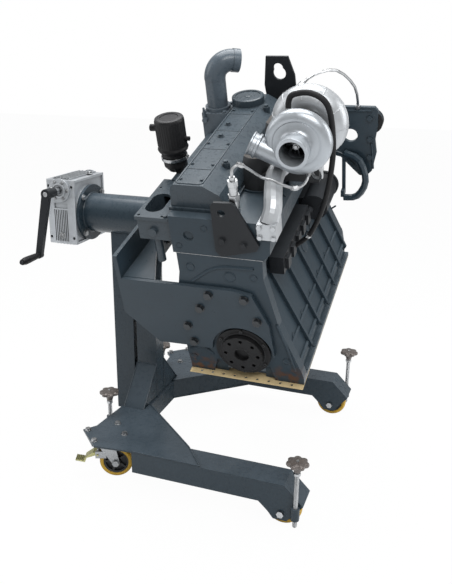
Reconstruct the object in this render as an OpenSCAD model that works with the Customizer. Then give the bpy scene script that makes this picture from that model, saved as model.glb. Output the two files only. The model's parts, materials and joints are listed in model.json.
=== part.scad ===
// Turbo diesel engine, six cylinders in line, with its oil pan taken off.
// It hangs on a roll-over stand: a worm gearbox with a hand crank turns it about a level axis.
// Millimetres. X runs along the turning axis, Y away from the crank side, Z up from the floor.

/* [Stand] */
// Distance between the near and far wheels
track = 808; // [700:4:900]
// Distance from the cross beam to the wheels at the leg ends
leg_reach = 680; // [660:5:800]
// Wheel diameter
wheel_d = 125; // [110:1:130]
// Wheel width
wheel_w = 36; // [28:1:42]
// Width of the leg tubes
leg_w = 100; // [90:2:110]
// Height of the leg tubes
leg_h = 79; // [70:1:84]
// Height of the underside of the legs above the floor
leg_z = 93; // [88:1:96]
// Wall of the square tubes
tube_wall = 5; // [3:0.5:8]
// Thickness of the corner plates
plate_t = 6; // [4:0.5:10]
// Width of the cross beam
beam_w = 100; // [80:2:110]
// Width of one column post
post_w = 84; // [70:2:90]
// Depth of one column post
post_d = 70; // [50:2:100]
// Gap between the two column posts
post_gap = 14; // [8:1:20]
// How far the column brace reaches along the beam
brace_reach = 132; // [80:4:150]

/* [Casters and levelling screws] */
// Distance from the stand's middle to each caster's swivel axis
caster_y = 369; // [350:1:380]
// Trail of the wheel behind the swivel axis
caster_trail = 34; // [24:1:40]
// Diameter of the levelling screws
screw_d = 16; // [12:1:20]
// Length of the levelling screws
screw_len = 226; // [200:2:250]
// Diameter of the star knobs
knob_d = 80; // [60:1:88]

/* [Turning head] */
// Height of the turning axis
axis_h = 912; // [880:2:960]
// Outer diameter of the bearing tube
bearing_tube_d = 150; // [130:2:160]
// Wall of the bearing tube
bearing_tube_wall = 12; // [8:1:16]
// Length of the bearing tube
bearing_tube_len = 305; // [280:5:330]
// Diameter of the turning shaft
shaft_d = 90; // [70:2:96]
// Diameter of the shaft end in the gearbox
spigot_d = 42; // [36:1:46]
// Distance between the worm and the turning axis
worm_rise = 100; // [98:1:110]
// Teeth of the worm wheel
worm_wheel_teeth = 60; // [40:1:80]
// Gearbox length along the turning axis
gearbox_x = 124; // [118:1:130]
// Gearbox depth
gearbox_y = 224; // [218:2:236]
// Length of the crank arm
crank_len = 240; // [180:5:260]
// Lean of the crank arm from hanging straight down
crank_lean = 12; // [0:1:40]

/* [Engine] */
// Pitch of the engine at rest, far end up
tilt = 19; // [0:1:30]
// Distance from the cross beam to the cylinder plane
engine_side = 494; // [490:2:530]
// Distance from the turning axis back to the rear face of the block
rear_reach = 400; // [380:5:430]
// Height of the turning axis above the crankshaft
crank_drop = 236; // [225:1:250]
// Cylinders
n_cyl = 6; // [6]
// Distance between cylinders
cyl_pitch = 124; // [122:1:130]
// Cylinder bore
bore_d = 98; // [90:1:102]
// Crank throw, half the stroke
throw = 58; // [50:1:59]
// Height of the head joint above the crankshaft
deck_h = 373; // [368:1:390]
// Depth of the pan rail below the crankshaft
rail_drop = 118; // [112:1:130]
// Width of the pan rail
rail_w = 406; // [396:2:420]
// Height of the cylinder head
head_h = 130; // [120:1:140]
// Height of the rocker cover
cover_h = 85; // [70:1:95]
// Thickness of the pan gasket
gasket_t = 3; // [2:0.5:5]
// Width of the pan gasket's band
gasket_band = 26; // [20:1:30]

/* [Turbocharger] */
// Turbo axis to the right of the cylinder plane
turbo_x = 178; // [166:1:180]
// Turbo axis above the crankshaft
turbo_z = 695; // [688:1:704]
// Outer diameter of the compressor housing
compressor_d = 198; // [190:1:210]
// Bore of the compressor inlet
inlet_bore = 74; // [64:1:76]
// Outer diameter of the turbine housing
turbine_d = 232; // [210:1:236]

/* [Hidden] */

// Overrun of every cut, running clearance of shafts, gap of seated curved faces, side clearance
over = 1;
run_gap = 0.06;
seat_gap = 0.2;
side_gap = 2;
$fn = 64;

// Frame origin, under the middle of the whole object
origin_x = -25;
origin_y = -37;

// Beam and legs
beam_x = -198;
wheel_x = beam_x + leg_reach;
leg_y = track / 2;
leg_top = leg_z + leg_h;
leg_start = beam_x + leg_reach / 5;
axle_z = wheel_d / 2;
axle_d = 16;
beam_end = caster_y - 132;
leg_tip = wheel_d * 0.6;
wheel_slot = wheel_w + 8;
boss_weld = 3;

// Casters
caster_x = beam_x - 10;
caster_plate_t = 6;
caster_plate_w = 110;
caster_plate_l = 138;
race_d = 64;
race_h = 12;
crown_t = 6;
fork_t = 5;
fork_w = wheel_w + 4 + 2 * fork_t;
kingpin_d = 14;
bolt_d = 12;
caster_bolt_x = 57;
caster_bolt_y = 42;
caster_bolts = [for (i = [-1, 1], k = [-1, 1]) [i * caster_bolt_x, k * caster_bolt_y]];
caster_turn = 20;
swivel_h = leg_top - caster_plate_t - race_h;
pedal_reach = 116;
pedal_w = 46;
pedal_t = 4;
pedal_z = 96;
pedal_pivot = 40;
pedal_pin_x = -pedal_pivot * 0.8;
pedal_pin_d = 8;

// Levelling screws
boss_d = 28;
boss_h = 44;
right_screw_x = wheel_x + 52;
right_screw_y = leg_y + leg_w / 2 + boss_d / 2 - boss_weld;
left_screw_x = beam_x - beam_w / 2 - boss_d / 2 + boss_weld;
left_screw_y = beam_end + 6;
right_boss_z = 60;
left_boss_z = leg_top - boss_h;
screw_tip_z = 32;
knob_h = 38;
knob_lobes = 7;

// Column
right_post_x = beam_x;
left_post_x = beam_x - post_w - post_gap;
brace_rise = brace_reach + 11;
foot_y = post_d / 2 + brace_reach;
joint_plate_h = 60;

// Bearing tube, gearbox and shaft along the turning axis
tube_right = beam_x + 60;
tube_left = tube_right - bearing_tube_len;
flange_t = 12;
flange_d = 216;
flange_bolts = 4;
flange_pcd = 196;
gearbox_right = tube_left;
gearbox_mid = gearbox_right - gearbox_x / 2;
gearbox_left = gearbox_right - gearbox_x;
gearbox_below = 108;
gearbox_above = 138;
gearbox_wall = 9;
worm_tip_r = 25;
worm_core_r = 19;
worm_tip_gap = 0.5;
wheel_tip_r = worm_rise - worm_tip_r - worm_tip_gap;
wheel_face = 40;
hub_d = 72;
hub_tunnel_d = 106;
hub_bearing_w = 26;
worm_tunnel_d = 58;
worm_bearing_w = 18;
input_d = 28;
input_cover_d = 88;
input_bolts = 6;
cover_d = 150;
cover_bolts = 6;
cover_t = 8;
rib_count = 7;
rib_depth = 10;
foot_hole_d = 11;
foot_hole_l = 22;
bearing_w = 30;
bracket_flange_t = 16;
bracket_flange_d = 200;
bracket_pcd = 160;
bracket_bolts = 6;
bracket_x = tube_right + side_gap + bracket_flange_t;
crank_y = -gearbox_y / 2 - 98;
arm_t = 18;
arm_w = 34;
hub_r = 19;
grip_len = 98;
grip_d = 27;
grip_pin_d = 10;

// Engine frame: X from the cylinder plane, Y from the block's rear face, Z from the crankshaft
crank_x = beam_x + engine_side;
first_cyl = 85;
block_len = first_cyl * 2 + (n_cyl - 1) * cyl_pitch;

// Block: outlines in X and Z, right flank going down from the deck, left flank going up to it
deck_left = -190;
deck_right = 90;
flank_x = 58;
deck_band = 26;
block_right = [
    [deck_right, deck_h], [deck_right, deck_h - deck_band], [flank_x, 300], [flank_x, 232],
    [187, -63], [187, 16 - rail_drop], [rail_w / 2, 16 - rail_drop], [rail_w / 2, -rail_drop]
];
block_left = [
    [-rail_w / 2, -rail_drop], [-rail_w / 2, 16 - rail_drop], [-172, -60], [-172, 300],
    [deck_left, deck_h - deck_band], [deck_left, deck_h]
];
flank_rib = [[30, 335], [70, 309], [70, 235], [199, -59], [178, -94], [150, -80], [30, 220]];
rear_right = [
    [deck_right, deck_h], [deck_right, 300], [128, 120], [196, -63], [rail_w / 2, -90],
    [rail_w / 2, -rail_drop]
];
rear_left = [
    [-rail_w / 2, -rail_drop], [-rail_w / 2, -90], [-208, -40], [-214, 110], [-200, 250],
    [deck_left, 300], [deck_left, deck_h]
];
rear_notch = [[-118, -rail_drop - 1], [-100, -60], [88, -60], [104, -rail_drop - 1]];
main_t = 26;
main_r = 40;
bay_r = 100;
bay_low = 150;
cam_x = -100;
cam_z = 120;
cam_r = 25;
cap_w = 136;
cap_h = 72;
rear_wall_t = main_t / 2 + first_cyl - cyl_pitch / 2;
spigot_r = 80;
rib_w = 12;
core_plug_d = 46;
cooler_y = 130;
cooler_z = 236;
cooler_h = 64;
cooler_len = 340;
cooler_ribs = 5;
filter_y = 520;
filter_len = 150;
rail_bolts = 7;
rail_bolt_d = 9;
rail_bolt_pitch = cyl_pitch;
gasket_lip = 22;

// Crank train
pin_r = 32;
pin_len = 44;
web_t = (cyl_pitch - main_t - side_gap - pin_len) / 2;
web_r = 50;
web_pin_r = 38;
weight_r = 86;
crank_nose_r = 32;
crank_flange_r = 73;
crank_flange_t = 16;
crank_neck_r = 52;
seal_r = 95;
seal_t = 8;
flange_holes = 8;
flange_hole_pcd = 112;
flange_hole_d = 13;
pilot_d = 50;
firing_turns = [0, 120, 240, 240, 120, 0];
piston_h = 98;
piston_drop = 1.5;
pin_axis_share = 0.58;
damper_d = 190;
damper_t = 40;
damper_y = block_len + 66;

// Timing gears and their case
gear_teeth = 26;
cam_ratio = 2;
gear_module = norm([cam_x, cam_z]) * 2 / ((1 + cam_ratio) * gear_teeth);
gear_w = 22;
mesh_angle = atan2(cam_z, cam_x);
case_t = 60;
case_wall = 8;
case_outline = [
    [-200, -110], [176, -110], [168, -40], [112, 90], [60, 200], [20, 262], [-150, 272],
    [-216, 230], [-232, 120], [-222, 10]
];

// Head, covers and manifolds
head_top = deck_h + head_h;
head_outline = [
    [-200, deck_h], [-200, head_top], [96, head_top], [122, head_top - 30], [116, deck_h + 24],
    [94, deck_h]
];
head_plug_d = 34;
cover_start = 44;
cover_end = block_len - 30;
cover_top = head_top + cover_h;
cover_wall = 5;
cover_outline = [
    [-203, head_top], [-198, cover_top - 16], [-188, cover_top], [-92, cover_top],
    [-42, cover_top - 28], [-20, head_top + 24], [-18, head_top]
];
cover_flange_x = cover_outline[6][0] + cover_wall + over;
cover_bolts_xy = [[-70, 200], [-150, 385], [-156, 480], [-66, 640]];
cap_disc_d = 118;
cap_disc_x = -146;
cap_disc_y = 682;
cap_disc_rise = 22;
port_left = -318;
port_right = -204;
port_start = 6;
port_len = 245;
port_top = 488;
port_flange_t = 12;
port_hole_x = 62;
port_hole_y = 115;
port_hole_right = -243;
port_hole_start = 40;
runner_left = -286;
runner_end = 618;
intake_low = 405;
drain_d = 28;
drain_h = 92;
canister_x = -292;
canister_y = 304;
canister_d = 98;
canister_h = 184;
elbow_x = -262;
elbow_y = 672;
elbow_d = 78;
elbow_wall = 4;
elbow_bend = 56;
elbow_rise = 112;
elbow_turn = 210;
elbow_sweep = 104;
elbow_mouth_len = 24;
stat_left = -308;
stat_y = 108;
stat_low = 440;
stat_top = 566;
lobe_x = 24;
lobe_r = 58;
lobe_ys = [236, 484, 732];
lobe_top = head_top + 104;
log_d = 64;
eye_t = 10;
eye_hole_r = 12;
rear_eye = [[-52, 400], [-52, 556], [-42, 568], [14, 570], [25, 560], [88, 430], [78, 412], [-36, 380]];
rear_eye_hole = [-20, 534];
rear_eye_bolts = [[-26, 440], [40, 430]];
front_eye = [[-92, 430], [-114, 613], [-103, 718], [-20, 718], [3, 649], [5, 611], [-18, 430]];
front_eye_hole = [-54, 656];
bracket_t = 15;
rear_bolt_r = 8;

// Bracket plate on the rear face of the block, and its bolts, in X and Z
bracket_left = bracket_x - crank_x;
rear_plate = [
    [bracket_left, 252], [-16, 256], [50, 244], [100, 130], [112, 0], [-190, 0], [-302, -4],
    [bracket_left, 110]
];
rear_plate_cut_r = 106;
rear_bolts = [[-95, 229], [-131, 171], [-184, 89], [-170, 22], [25, 227], [62, 144]];
side_plate_y = 510;
side_plate_half = 105;
gusset_y = 290;
gusset_x = 116;
gusset_t = 10;

// Turbocharger along its axis, in Y
inlet_y = 66;
compressor_y = 110;
compressor_t = 74;
centre_y = compressor_y + compressor_t;
centre_t = 52;
turbine_y = centre_y + centre_t;
turbine_t = 96;
turbo_shaft_r = 6;
compressor_wheel_r = 46;
turbine_wheel_r = 44;
outlet_d = 66;
outlet_len = 34;
outlet_turn = 25;
outlet_axis_r = compressor_d / 2 - outlet_d / 2 + 3;
volute_r = compressor_d * 0.155;
scroll_r = turbine_d * 0.2;
foot_top = turbo_z - turbine_d / 2 + rib_w;

// Pipes, hoses and the front accessory plate: points on their centre lines
branch_route = [[112, 190, 590], [104, 160, 588], [105, 120, 574], [114, 76, 553], [120, 44, 528], [112, 22, 494]];
branch_d = 56;
branch_foot = 58;
branch_foot_z = 452;
feed_route = [[14, 20, 640], [16, 24, 662], [36, 40, 668], [64, 52, 644], [90, 60, 622],
    [120, 66, 612], [150, 64, 600], [180, 80, 584], [200, 116, 582], [206, 147, 602]];
drain_route = [[178, 211, 640], [192, 206, 600], [212, 180, 572], [240, 160, 580], [240, 150, 622]];
vent_route = [[150, 300, 800], [180, 340, 818], [230, 430, 800], [262, 560, 700], [250, 702, 572]];
line_d = 9;
hose_route = [[140, 197, 740], [138, 206, 790], [156, 206, 812], [206, 204, 816], [250, 202, 784],
    [264, 204, 700], [260, 210, 600], [232, 224, 460], [180, 244, 330], [124, 250, 270]];
hose_d = 17;
loop_route = [[206, 690, 400], [262, 676, 380], [286, 672, 300], [256, 672, 236], [206, 672, 226]];
loop_d = 26;
front_plate_y = 698;
front_plate = [
    [122, 396], [190, 380], [232, 336], [258, 310], [282, 306], [304, 330], [318, 400],
    [312, 450], [319, 500], [319, 562], [308, 574], [150, 574], [122, 548]
];
front_plate_bolts = [[292, 534], [294, 455], [295, 385], [150, 430], [170, 548]];
pulley_x = 292;
pulley_z = 508;
pulley_r = 42;

// Placement
module in_stand() {
    translate([origin_x, origin_y, 0]) children();
}

module on_engine() {
    in_stand()
        translate([0, 0, axis_h]) rotate([tilt, 0, 0])
            translate([crank_x, -rear_reach, -crank_drop]) children();
}

// The near side of the stand mirrors its far side
module on_side(side) {
    mirror([0, side < 0 ? 1 : 0, 0]) children();
}

module at_caster(side) {
    on_side(side) translate([caster_x, caster_y, 0]) rotate([0, 0, -45]) children();
}

// Cylinders along an axis, starting at the given place
module rod_x(d, h) {
    rotate([0, 90, 0]) cylinder(d = d, h = h);
}

module rod_y(d, h) {
    rotate([-90, 0, 0]) cylinder(d = d, h = h);
}

// A plane outline in X and Z, given a thickness along Y
module slab_y(h) {
    rotate([90, 0, 0]) mirror([0, 0, 1]) linear_extrude(h) children();
}

// A plane outline in Y and Z, given a thickness along X
module slab_x(h) {
    rotate([90, 0, 90]) linear_extrude(h) children();
}

// Hexagon bolt head with its washer, pointing up
module bolt_head(d) {
    cylinder(d = d * 2, h = d * 0.15);
    translate([0, 0, d * 0.15]) cylinder(d = d * 1.7, h = d * 0.6, $fn = 6);
}

// A tube through a smooth curve past its points, closed at both ends
function along(a, b, c, d, t) =
    0.5 * (2 * b + (c - a) * t + (2 * a - 5 * b + 4 * c - d) * t * t
        + (3 * b - a - 3 * c + d) * t * t * t);

function smooth_route(p, steps) = [
    for (i = [0 : len(p) - 2], k = [0 : steps - 1])
        along(p[max(i - 1, 0)], p[i], p[i + 1], p[min(i + 2, len(p) - 1)], k / steps),
    p[len(p) - 1]
];

function unit(v) = v / norm(v);

function heading(r, i) = unit(r[min(i + 1, len(r) - 1)] - r[max(i - 1, 0)]);

function sideways(r, i) =
    i == 0
    ? unit(cross(heading(r, 0), abs(heading(r, 0)[2]) < 0.9 ? [0, 0, 1] : [1, 0, 0]))
    : let (t = heading(r, i), n = sideways(r, i - 1)) unit(n - t * (n * t));

module tube_along(points, d, sides = 8, steps = 3) {
    r = smooth_route(points, steps);
    n = len(r);
    rings = [
        for (i = [0 : n - 1])
            let (u = sideways(r, i), v = cross(heading(r, i), u))
                for (k = [0 : sides - 1])
                    r[i] + (u * cos(360 * k / sides) + v * sin(360 * k / sides)) * d / 2
    ];
    walls = [
        for (i = [0 : n - 2], k = [0 : sides - 1])
            let (a = i * sides + k, b = i * sides + (k + 1) % sides)
                each [[a, a + sides, b + sides], [a, b + sides, b]]
    ];
    first = [for (k = [1 : sides - 2]) [0, k, k + 1]];
    last = [for (k = [1 : sides - 2]) [n * sides - sides, n * sides - sides + k + 1, n * sides - sides + k]];
    polyhedron(rings, concat(walls, first, last));
}

// Straight-flanked gear outline, thinner than its gaps so that a pair runs with backlash
function gear_outline(teeth, m) = [
    for (i = [0 : teeth - 1])
        let (pitch = 360 / teeth, r = teeth * m / 2)
            each [
                for (s = [[-0.3, -1.15], [-0.13, 0.8], [0.13, 0.8], [0.3, -1.15]])
                    (r + m * s[1]) * [cos((i + s[0]) * pitch), sin((i + s[0]) * pitch)]
            ]
];

// Legs

module leg(side) {
    slope_tip = [wheel_x + leg_tip, leg_z + leg_h * 0.15];
    slope_top = [wheel_x + wheel_d * 0.065, leg_top];
    cheek_low = axle_z - wheel_d * 0.2;
    pocket_top = wheel_d * 1.12;
    pocket_back = wheel_x - wheel_d * 0.56;
    in_stand() translate([0, side * leg_y, 0]) difference() {
        union() {
            translate([0, -leg_w / 2, 0]) slab_y(leg_w) polygon([
                [leg_start, leg_z],
                [wheel_x - wheel_d * 0.62, leg_z],
                [wheel_x - wheel_d * 0.36, axle_z],
                [wheel_x - wheel_d * 0.2, cheek_low],
                [wheel_x + wheel_d * 0.17, cheek_low],
                [wheel_x + wheel_d * 0.37, axle_z + wheel_d * 0.07],
                slope_tip, slope_top,
                [leg_start, leg_top]
            ]);
            translate([right_screw_x, side * (right_screw_y - leg_y), right_boss_z])
                cylinder(d = boss_d, h = boss_h);
        }
        translate([leg_start + tube_wall, tube_wall - leg_w / 2, leg_z + tube_wall])
            cube([pocket_back - leg_start, leg_w - 2 * tube_wall, leg_h - 2 * tube_wall]);
        translate([0, -wheel_slot / 2, 0]) slab_y(wheel_slot) polygon([
            [pocket_back, 0],
            [pocket_back, pocket_top],
            [wheel_x + wheel_d * 0.2, pocket_top],
            slope_tip - [tube_wall * 1.3, 0],
            [wheel_x + wheel_d * 0.7, 0]
        ]);
        translate([wheel_x, -leg_w, axle_z]) rod_y(axle_d + 2 * run_gap, leg_w * 2);
        translate([right_screw_x, side * (right_screw_y - leg_y), right_boss_z - over])
            cylinder(d = screw_d + 2 * run_gap, h = boss_h + 2 * over);
    }
}

module near_leg() {
    color("#3f4a55") leg(-1);
}

module far_leg() {
    color("#3f4a55") leg(1);
}

// Cross beam with its two box corners, which carry the casters and the left levelling screws

module corner(side) {
    inner = leg_y - leg_w / 2;
    web_foot = [beam_x + beam_w / 2, beam_end * 0.49];
    web_head = [beam_x + leg_reach * 0.46, inner];
    outer_foot = [beam_x + beam_w / 2, beam_end];
    outer_head = [leg_start, inner];
    on_side(side) {
        translate([0, 0, leg_top]) linear_extrude(plate_t) polygon([
            [caster_x - caster_plate_l * 0.65, caster_y + caster_plate_l * 0.09],
            [caster_x - caster_plate_l * 0.41, caster_y - caster_plate_l * 0.22],
            [beam_x - beam_w / 2, foot_y],
            [beam_x + beam_w / 2 - plate_t, foot_y],
            web_foot - [plate_t, 0], web_foot, web_head,
            [web_head[0] + leg_w * 0.8, leg_y + leg_w / 2],
            [leg_start, leg_y + leg_w / 2],
            [caster_x + caster_plate_l * 0.04, caster_y + caster_plate_l * 0.73]
        ]);
        translate([0, 0, leg_z]) linear_extrude(plate_t)
            polygon([web_foot, web_head, outer_head, outer_foot]);
        translate([0, 0, leg_z]) linear_extrude(leg_h) {
            polygon([web_foot, web_head, web_head - [plate_t * 1.4, 0], web_foot + [0, plate_t * 1.4]]);
            polygon([outer_foot, outer_head, outer_head + [plate_t * 1.4, 0], outer_foot - [0, plate_t * 1.4]]);
        }
        translate([left_screw_x, left_screw_y, left_boss_z]) cylinder(d = boss_d, h = boss_h);
    }
}

module cross_beam() {
    color("#3f4a55") in_stand() difference() {
        union() {
            translate([beam_x - beam_w / 2, -beam_end, leg_z]) cube([beam_w, 2 * beam_end, leg_h]);
            for (side = [-1, 1]) corner(side);
        }
        translate([beam_x - beam_w / 2 + tube_wall, -beam_end - over, leg_z + tube_wall])
            cube([beam_w - 2 * tube_wall, 2 * (beam_end + over), leg_h - 2 * tube_wall]);
        for (side = [-1, 1]) {
            translate([left_screw_x, side * left_screw_y, left_boss_z - over])
                cylinder(d = screw_d + 2 * run_gap, h = boss_h + plate_t + 2 * over);
            at_caster(side) for (p = caster_bolts)
                translate([p[0], p[1], leg_top - over]) cylinder(d = bolt_d + 1, h = plate_t + 2 * over);
        }
    }
}

// Column: two posts under the bearing tube, joined by short plates, with a boxed brace on each side

module column() {
    saddle_z = axis_h - bearing_tube_d * 0.4;
    color("#3c4651") in_stand() difference() {
        union() {
            translate([right_post_x - post_w / 2, -post_d / 2, leg_top])
                cube([post_w, post_d, saddle_z - leg_top]);
            translate([left_post_x - post_w / 2, -post_d / 2, leg_z])
                cube([post_w, post_d, saddle_z - leg_z]);
            for (z = [leg_top + joint_plate_h, saddle_z - 2 * joint_plate_h])
                translate([right_post_x - post_w / 2 - post_gap, -post_d / 2 + tube_wall, z])
                    cube([post_gap, post_d - 2 * tube_wall, joint_plate_h]);
            translate([left_post_x + post_w / 2, -post_d / 2 + tube_wall, leg_z + tube_wall])
                cube([beam_x - beam_w / 2 - left_post_x - post_w / 2, post_d - 2 * tube_wall, leg_h - 2 * tube_wall]);
            for (side = [-1, 1]) on_side(side)
                translate([right_post_x - post_w / 2, 0, 0]) slab_x(post_w) polygon([
                    [post_d / 2, leg_top], [foot_y, leg_top], [post_d / 2, leg_top + brace_rise]
                ]);
        }
        for (x = [left_post_x, right_post_x])
            translate([x - post_w / 2 + tube_wall, -post_d / 2 + tube_wall, leg_z - over])
                cube([post_w - 2 * tube_wall, post_d - 2 * tube_wall, axis_h]);
        for (side = [-1, 1]) on_side(side)
            translate([right_post_x - post_w / 2 + tube_wall, 0, 0]) slab_x(post_w - 2 * tube_wall) polygon([
                [post_d / 2 + tube_wall, leg_top - over],
                [foot_y - 3 * tube_wall, leg_top - over],
                [post_d / 2 + tube_wall, leg_top + brace_rise - 3 * tube_wall]
            ]);
        translate([tube_left, 0, axis_h]) rod_x(bearing_tube_d + 2 * seat_gap, bearing_tube_len);
    }
}

// Casters

module caster_plates() {
    color("#a9adb0") in_stand() for (side = [-1, 1]) at_caster(side) {
        difference() {
            translate([-caster_plate_l / 2, -caster_plate_w / 2, leg_top - caster_plate_t])
                cube([caster_plate_l, caster_plate_w, caster_plate_t]);
            for (p = caster_bolts)
                translate([p[0], p[1], leg_top - caster_plate_t - over])
                    cylinder(d = bolt_d + 1, h = caster_plate_t + 2 * over);
        }
        translate([0, 0, swivel_h]) cylinder(d = race_d, h = race_h);
        translate([0, 0, swivel_h - crown_t - kingpin_d * 0.7]) cylinder(d = kingpin_d, h = crown_t + kingpin_d * 0.7);
        translate([0, 0, swivel_h - crown_t - kingpin_d * 0.7]) cylinder(d = kingpin_d * 2, h = kingpin_d * 0.6, $fn = 6);
    }
}

module at_fork(side) {
    in_stand() translate([caster_x, side * caster_y, 0]) rotate([0, 0, caster_turn]) children();
}

module caster_fork(side) {
    leg_low = axle_d * 0.9;
    at_fork(side) difference() {
        union() {
            translate([0, 0, swivel_h - crown_t]) difference() {
                cylinder(d = race_d * 1.1, h = crown_t - seat_gap);
                translate([0, 0, -over]) cylinder(d = kingpin_d + 2 * run_gap, h = crown_t + 2 * over);
            }
            for (y = [-fork_w / 2, fork_w / 2 - fork_t]) translate([0, y, 0])
                slab_y(fork_t) {
                    polygon([
                        [-race_d * 0.5, swivel_h - seat_gap],
                        [-race_d * 0.5, swivel_h - crown_t * 2],
                        [caster_trail - leg_low, axle_z],
                        [caster_trail + leg_low, axle_z],
                        [race_d * 0.54, swivel_h - crown_t * 3],
                        [race_d * 0.5, swivel_h - seat_gap]
                    ]);
                    translate([caster_trail, axle_z]) circle(leg_low);
                }
            translate([caster_trail, -fork_w / 2 - axle_d * 0.5, axle_z]) rod_y(axle_d, fork_w + axle_d);
            for (y = [-fork_w / 2 - axle_d * 0.5, fork_w / 2])
                translate([caster_trail, y, axle_z]) rotate([-90, 0, 0])
                    cylinder(d = axle_d * 1.6, h = axle_d * 0.5, $fn = 6);
            for (y = [-fork_w / 2, fork_w / 2 - fork_t])
                translate([-pedal_pivot, y, pedal_z - pedal_w * 0.3])
                    cube([pedal_pivot, fork_t, pedal_w * 0.6]);
        }
        translate([pedal_pin_x, -fork_w, pedal_z]) rod_y(pedal_pin_d + 2 * run_gap, fork_w * 2);
    }
}

module near_caster_fork() {
    color("#8d9296") caster_fork(-1);
}

module far_caster_fork() {
    color("#8d9296") caster_fork(1);
}

// Total-lock pedal: a stepped plate on a cross pin, ahead of the wheel

module brake_pedal(side) {
    inner_w = fork_w - 2 * fork_t - side_gap;
    at_fork(side) {
        translate([pedal_pin_x, -fork_w / 2 - pedal_t / 2, pedal_z]) rod_y(pedal_pin_d, fork_w + pedal_t);
        translate([0, -inner_w / 2, 0]) slab_y(inner_w) polygon([
            [-pedal_pivot * 0.62, pedal_z + pedal_t * 1.6],
            [-pedal_pivot * 1.25, pedal_z + pedal_t * 1.6],
            [-pedal_reach * 0.7, pedal_z - pedal_w * 0.35],
            [-pedal_reach * 0.74, pedal_z - pedal_w * 0.62],
            [-pedal_reach, pedal_z - pedal_w * 0.5],
            [-pedal_reach, pedal_z - pedal_w * 0.5 - pedal_t],
            [-pedal_reach * 0.7, pedal_z - pedal_w * 0.62 - pedal_t * 1.4],
            [-pedal_reach * 0.64, pedal_z - pedal_w * 0.35],
            [-pedal_pivot * 1.12, pedal_z - pedal_t * 1.6],
            [-pedal_pivot * 0.62, pedal_z - pedal_t * 1.6]
        ]);
    }
}

module near_brake_pedal() {
    color("#b8c26a") brake_pedal(-1);
}

module far_brake_pedal() {
    color("#b8c26a") brake_pedal(1);
}

// Wheel with its axis along Y: dished hub web, rim and tread
module wheel_solid() {
    rim_r = wheel_d * 0.43;
    half_w = wheel_w / 2;
    color("#c79a2b") rotate([90, 0, 0]) rotate_extrude($fn = 96) polygon([
        [axle_d / 2 + run_gap, -half_w - over], [axle_d * 1.1, -half_w - over],
        [axle_d * 1.2, -half_w * 0.4], [rim_r * 0.8, -half_w * 0.4],
        [rim_r * 0.87, -half_w], [rim_r, -half_w],
        [wheel_d / 2, -half_w * 0.6], [wheel_d / 2, half_w * 0.6],
        [rim_r, half_w], [rim_r * 0.87, half_w],
        [rim_r * 0.8, half_w * 0.4], [axle_d * 1.2, half_w * 0.4],
        [axle_d * 1.1, half_w + over], [axle_d / 2 + run_gap, half_w + over]
    ]);
}

module near_left_wheel() {
    at_fork(-1) translate([caster_trail, 0, axle_z]) wheel_solid();
}

module far_left_wheel() {
    at_fork(1) translate([caster_trail, 0, axle_z]) wheel_solid();
}

module near_right_wheel() {
    in_stand() translate([wheel_x, -leg_y, axle_z]) wheel_solid();
}

module far_right_wheel() {
    in_stand() translate([wheel_x, leg_y, axle_z]) wheel_solid();
}

// Levelling screws: a threaded rod that travels in its boss, and a star knob that turns on it

module levelling_screw(x, y) {
    in_stand() translate([x, y, screw_tip_z]) {
        cylinder(d1 = screw_d * 0.7, d2 = screw_d, h = screw_d * 0.15);
        translate([0, 0, screw_d * 0.15]) cylinder(d = screw_d, h = screw_len - knob_h * 0.4 - screw_d * 0.15);
        translate([0, 0, screw_len - knob_h * 0.4]) cylinder(d = screw_d * 0.6, h = knob_h * 1.1);
    }
}

module star_knob(x, y) {
    base_z = screw_tip_z + screw_len - knob_h * 0.4;
    lobe_r = knob_d * 0.13;
    in_stand() translate([x, y, base_z]) difference() {
        union() {
            cylinder(d = knob_d * 0.42, h = knob_h * 0.5);
            translate([0, 0, knob_h * 0.4]) linear_extrude(knob_h * 0.6) difference() {
                circle(d = knob_d * 0.94);
                for (i = [0 : knob_lobes - 1])
                    rotate([0, 0, (i + 0.5) * 360 / knob_lobes]) translate([knob_d * 0.52, 0]) circle(lobe_r);
            }
        }
        translate([0, 0, -over]) cylinder(d = screw_d * 0.6 + 2 * run_gap, h = knob_h + 2 * over);
    }
}

module near_left_screw() {
    color("#b9bdc0") levelling_screw(left_screw_x, -left_screw_y);
}

module far_left_screw() {
    color("#b9bdc0") levelling_screw(left_screw_x, left_screw_y);
}

module near_right_screw() {
    color("#b9bdc0") levelling_screw(right_screw_x, -right_screw_y);
}

module far_right_screw() {
    color("#b9bdc0") levelling_screw(right_screw_x, right_screw_y);
}

module near_left_knob() {
    color("#6e6460") star_knob(left_screw_x, -left_screw_y);
}

module far_left_knob() {
    color("#6e6460") star_knob(left_screw_x, left_screw_y);
}

module near_right_knob() {
    color("#6e6460") star_knob(right_screw_x, -right_screw_y);
}

module far_right_knob() {
    color("#6e6460") star_knob(right_screw_x, right_screw_y);
}

// Bolts of the stand: casters, leg axles, bearing tube flange and gearbox covers

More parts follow.
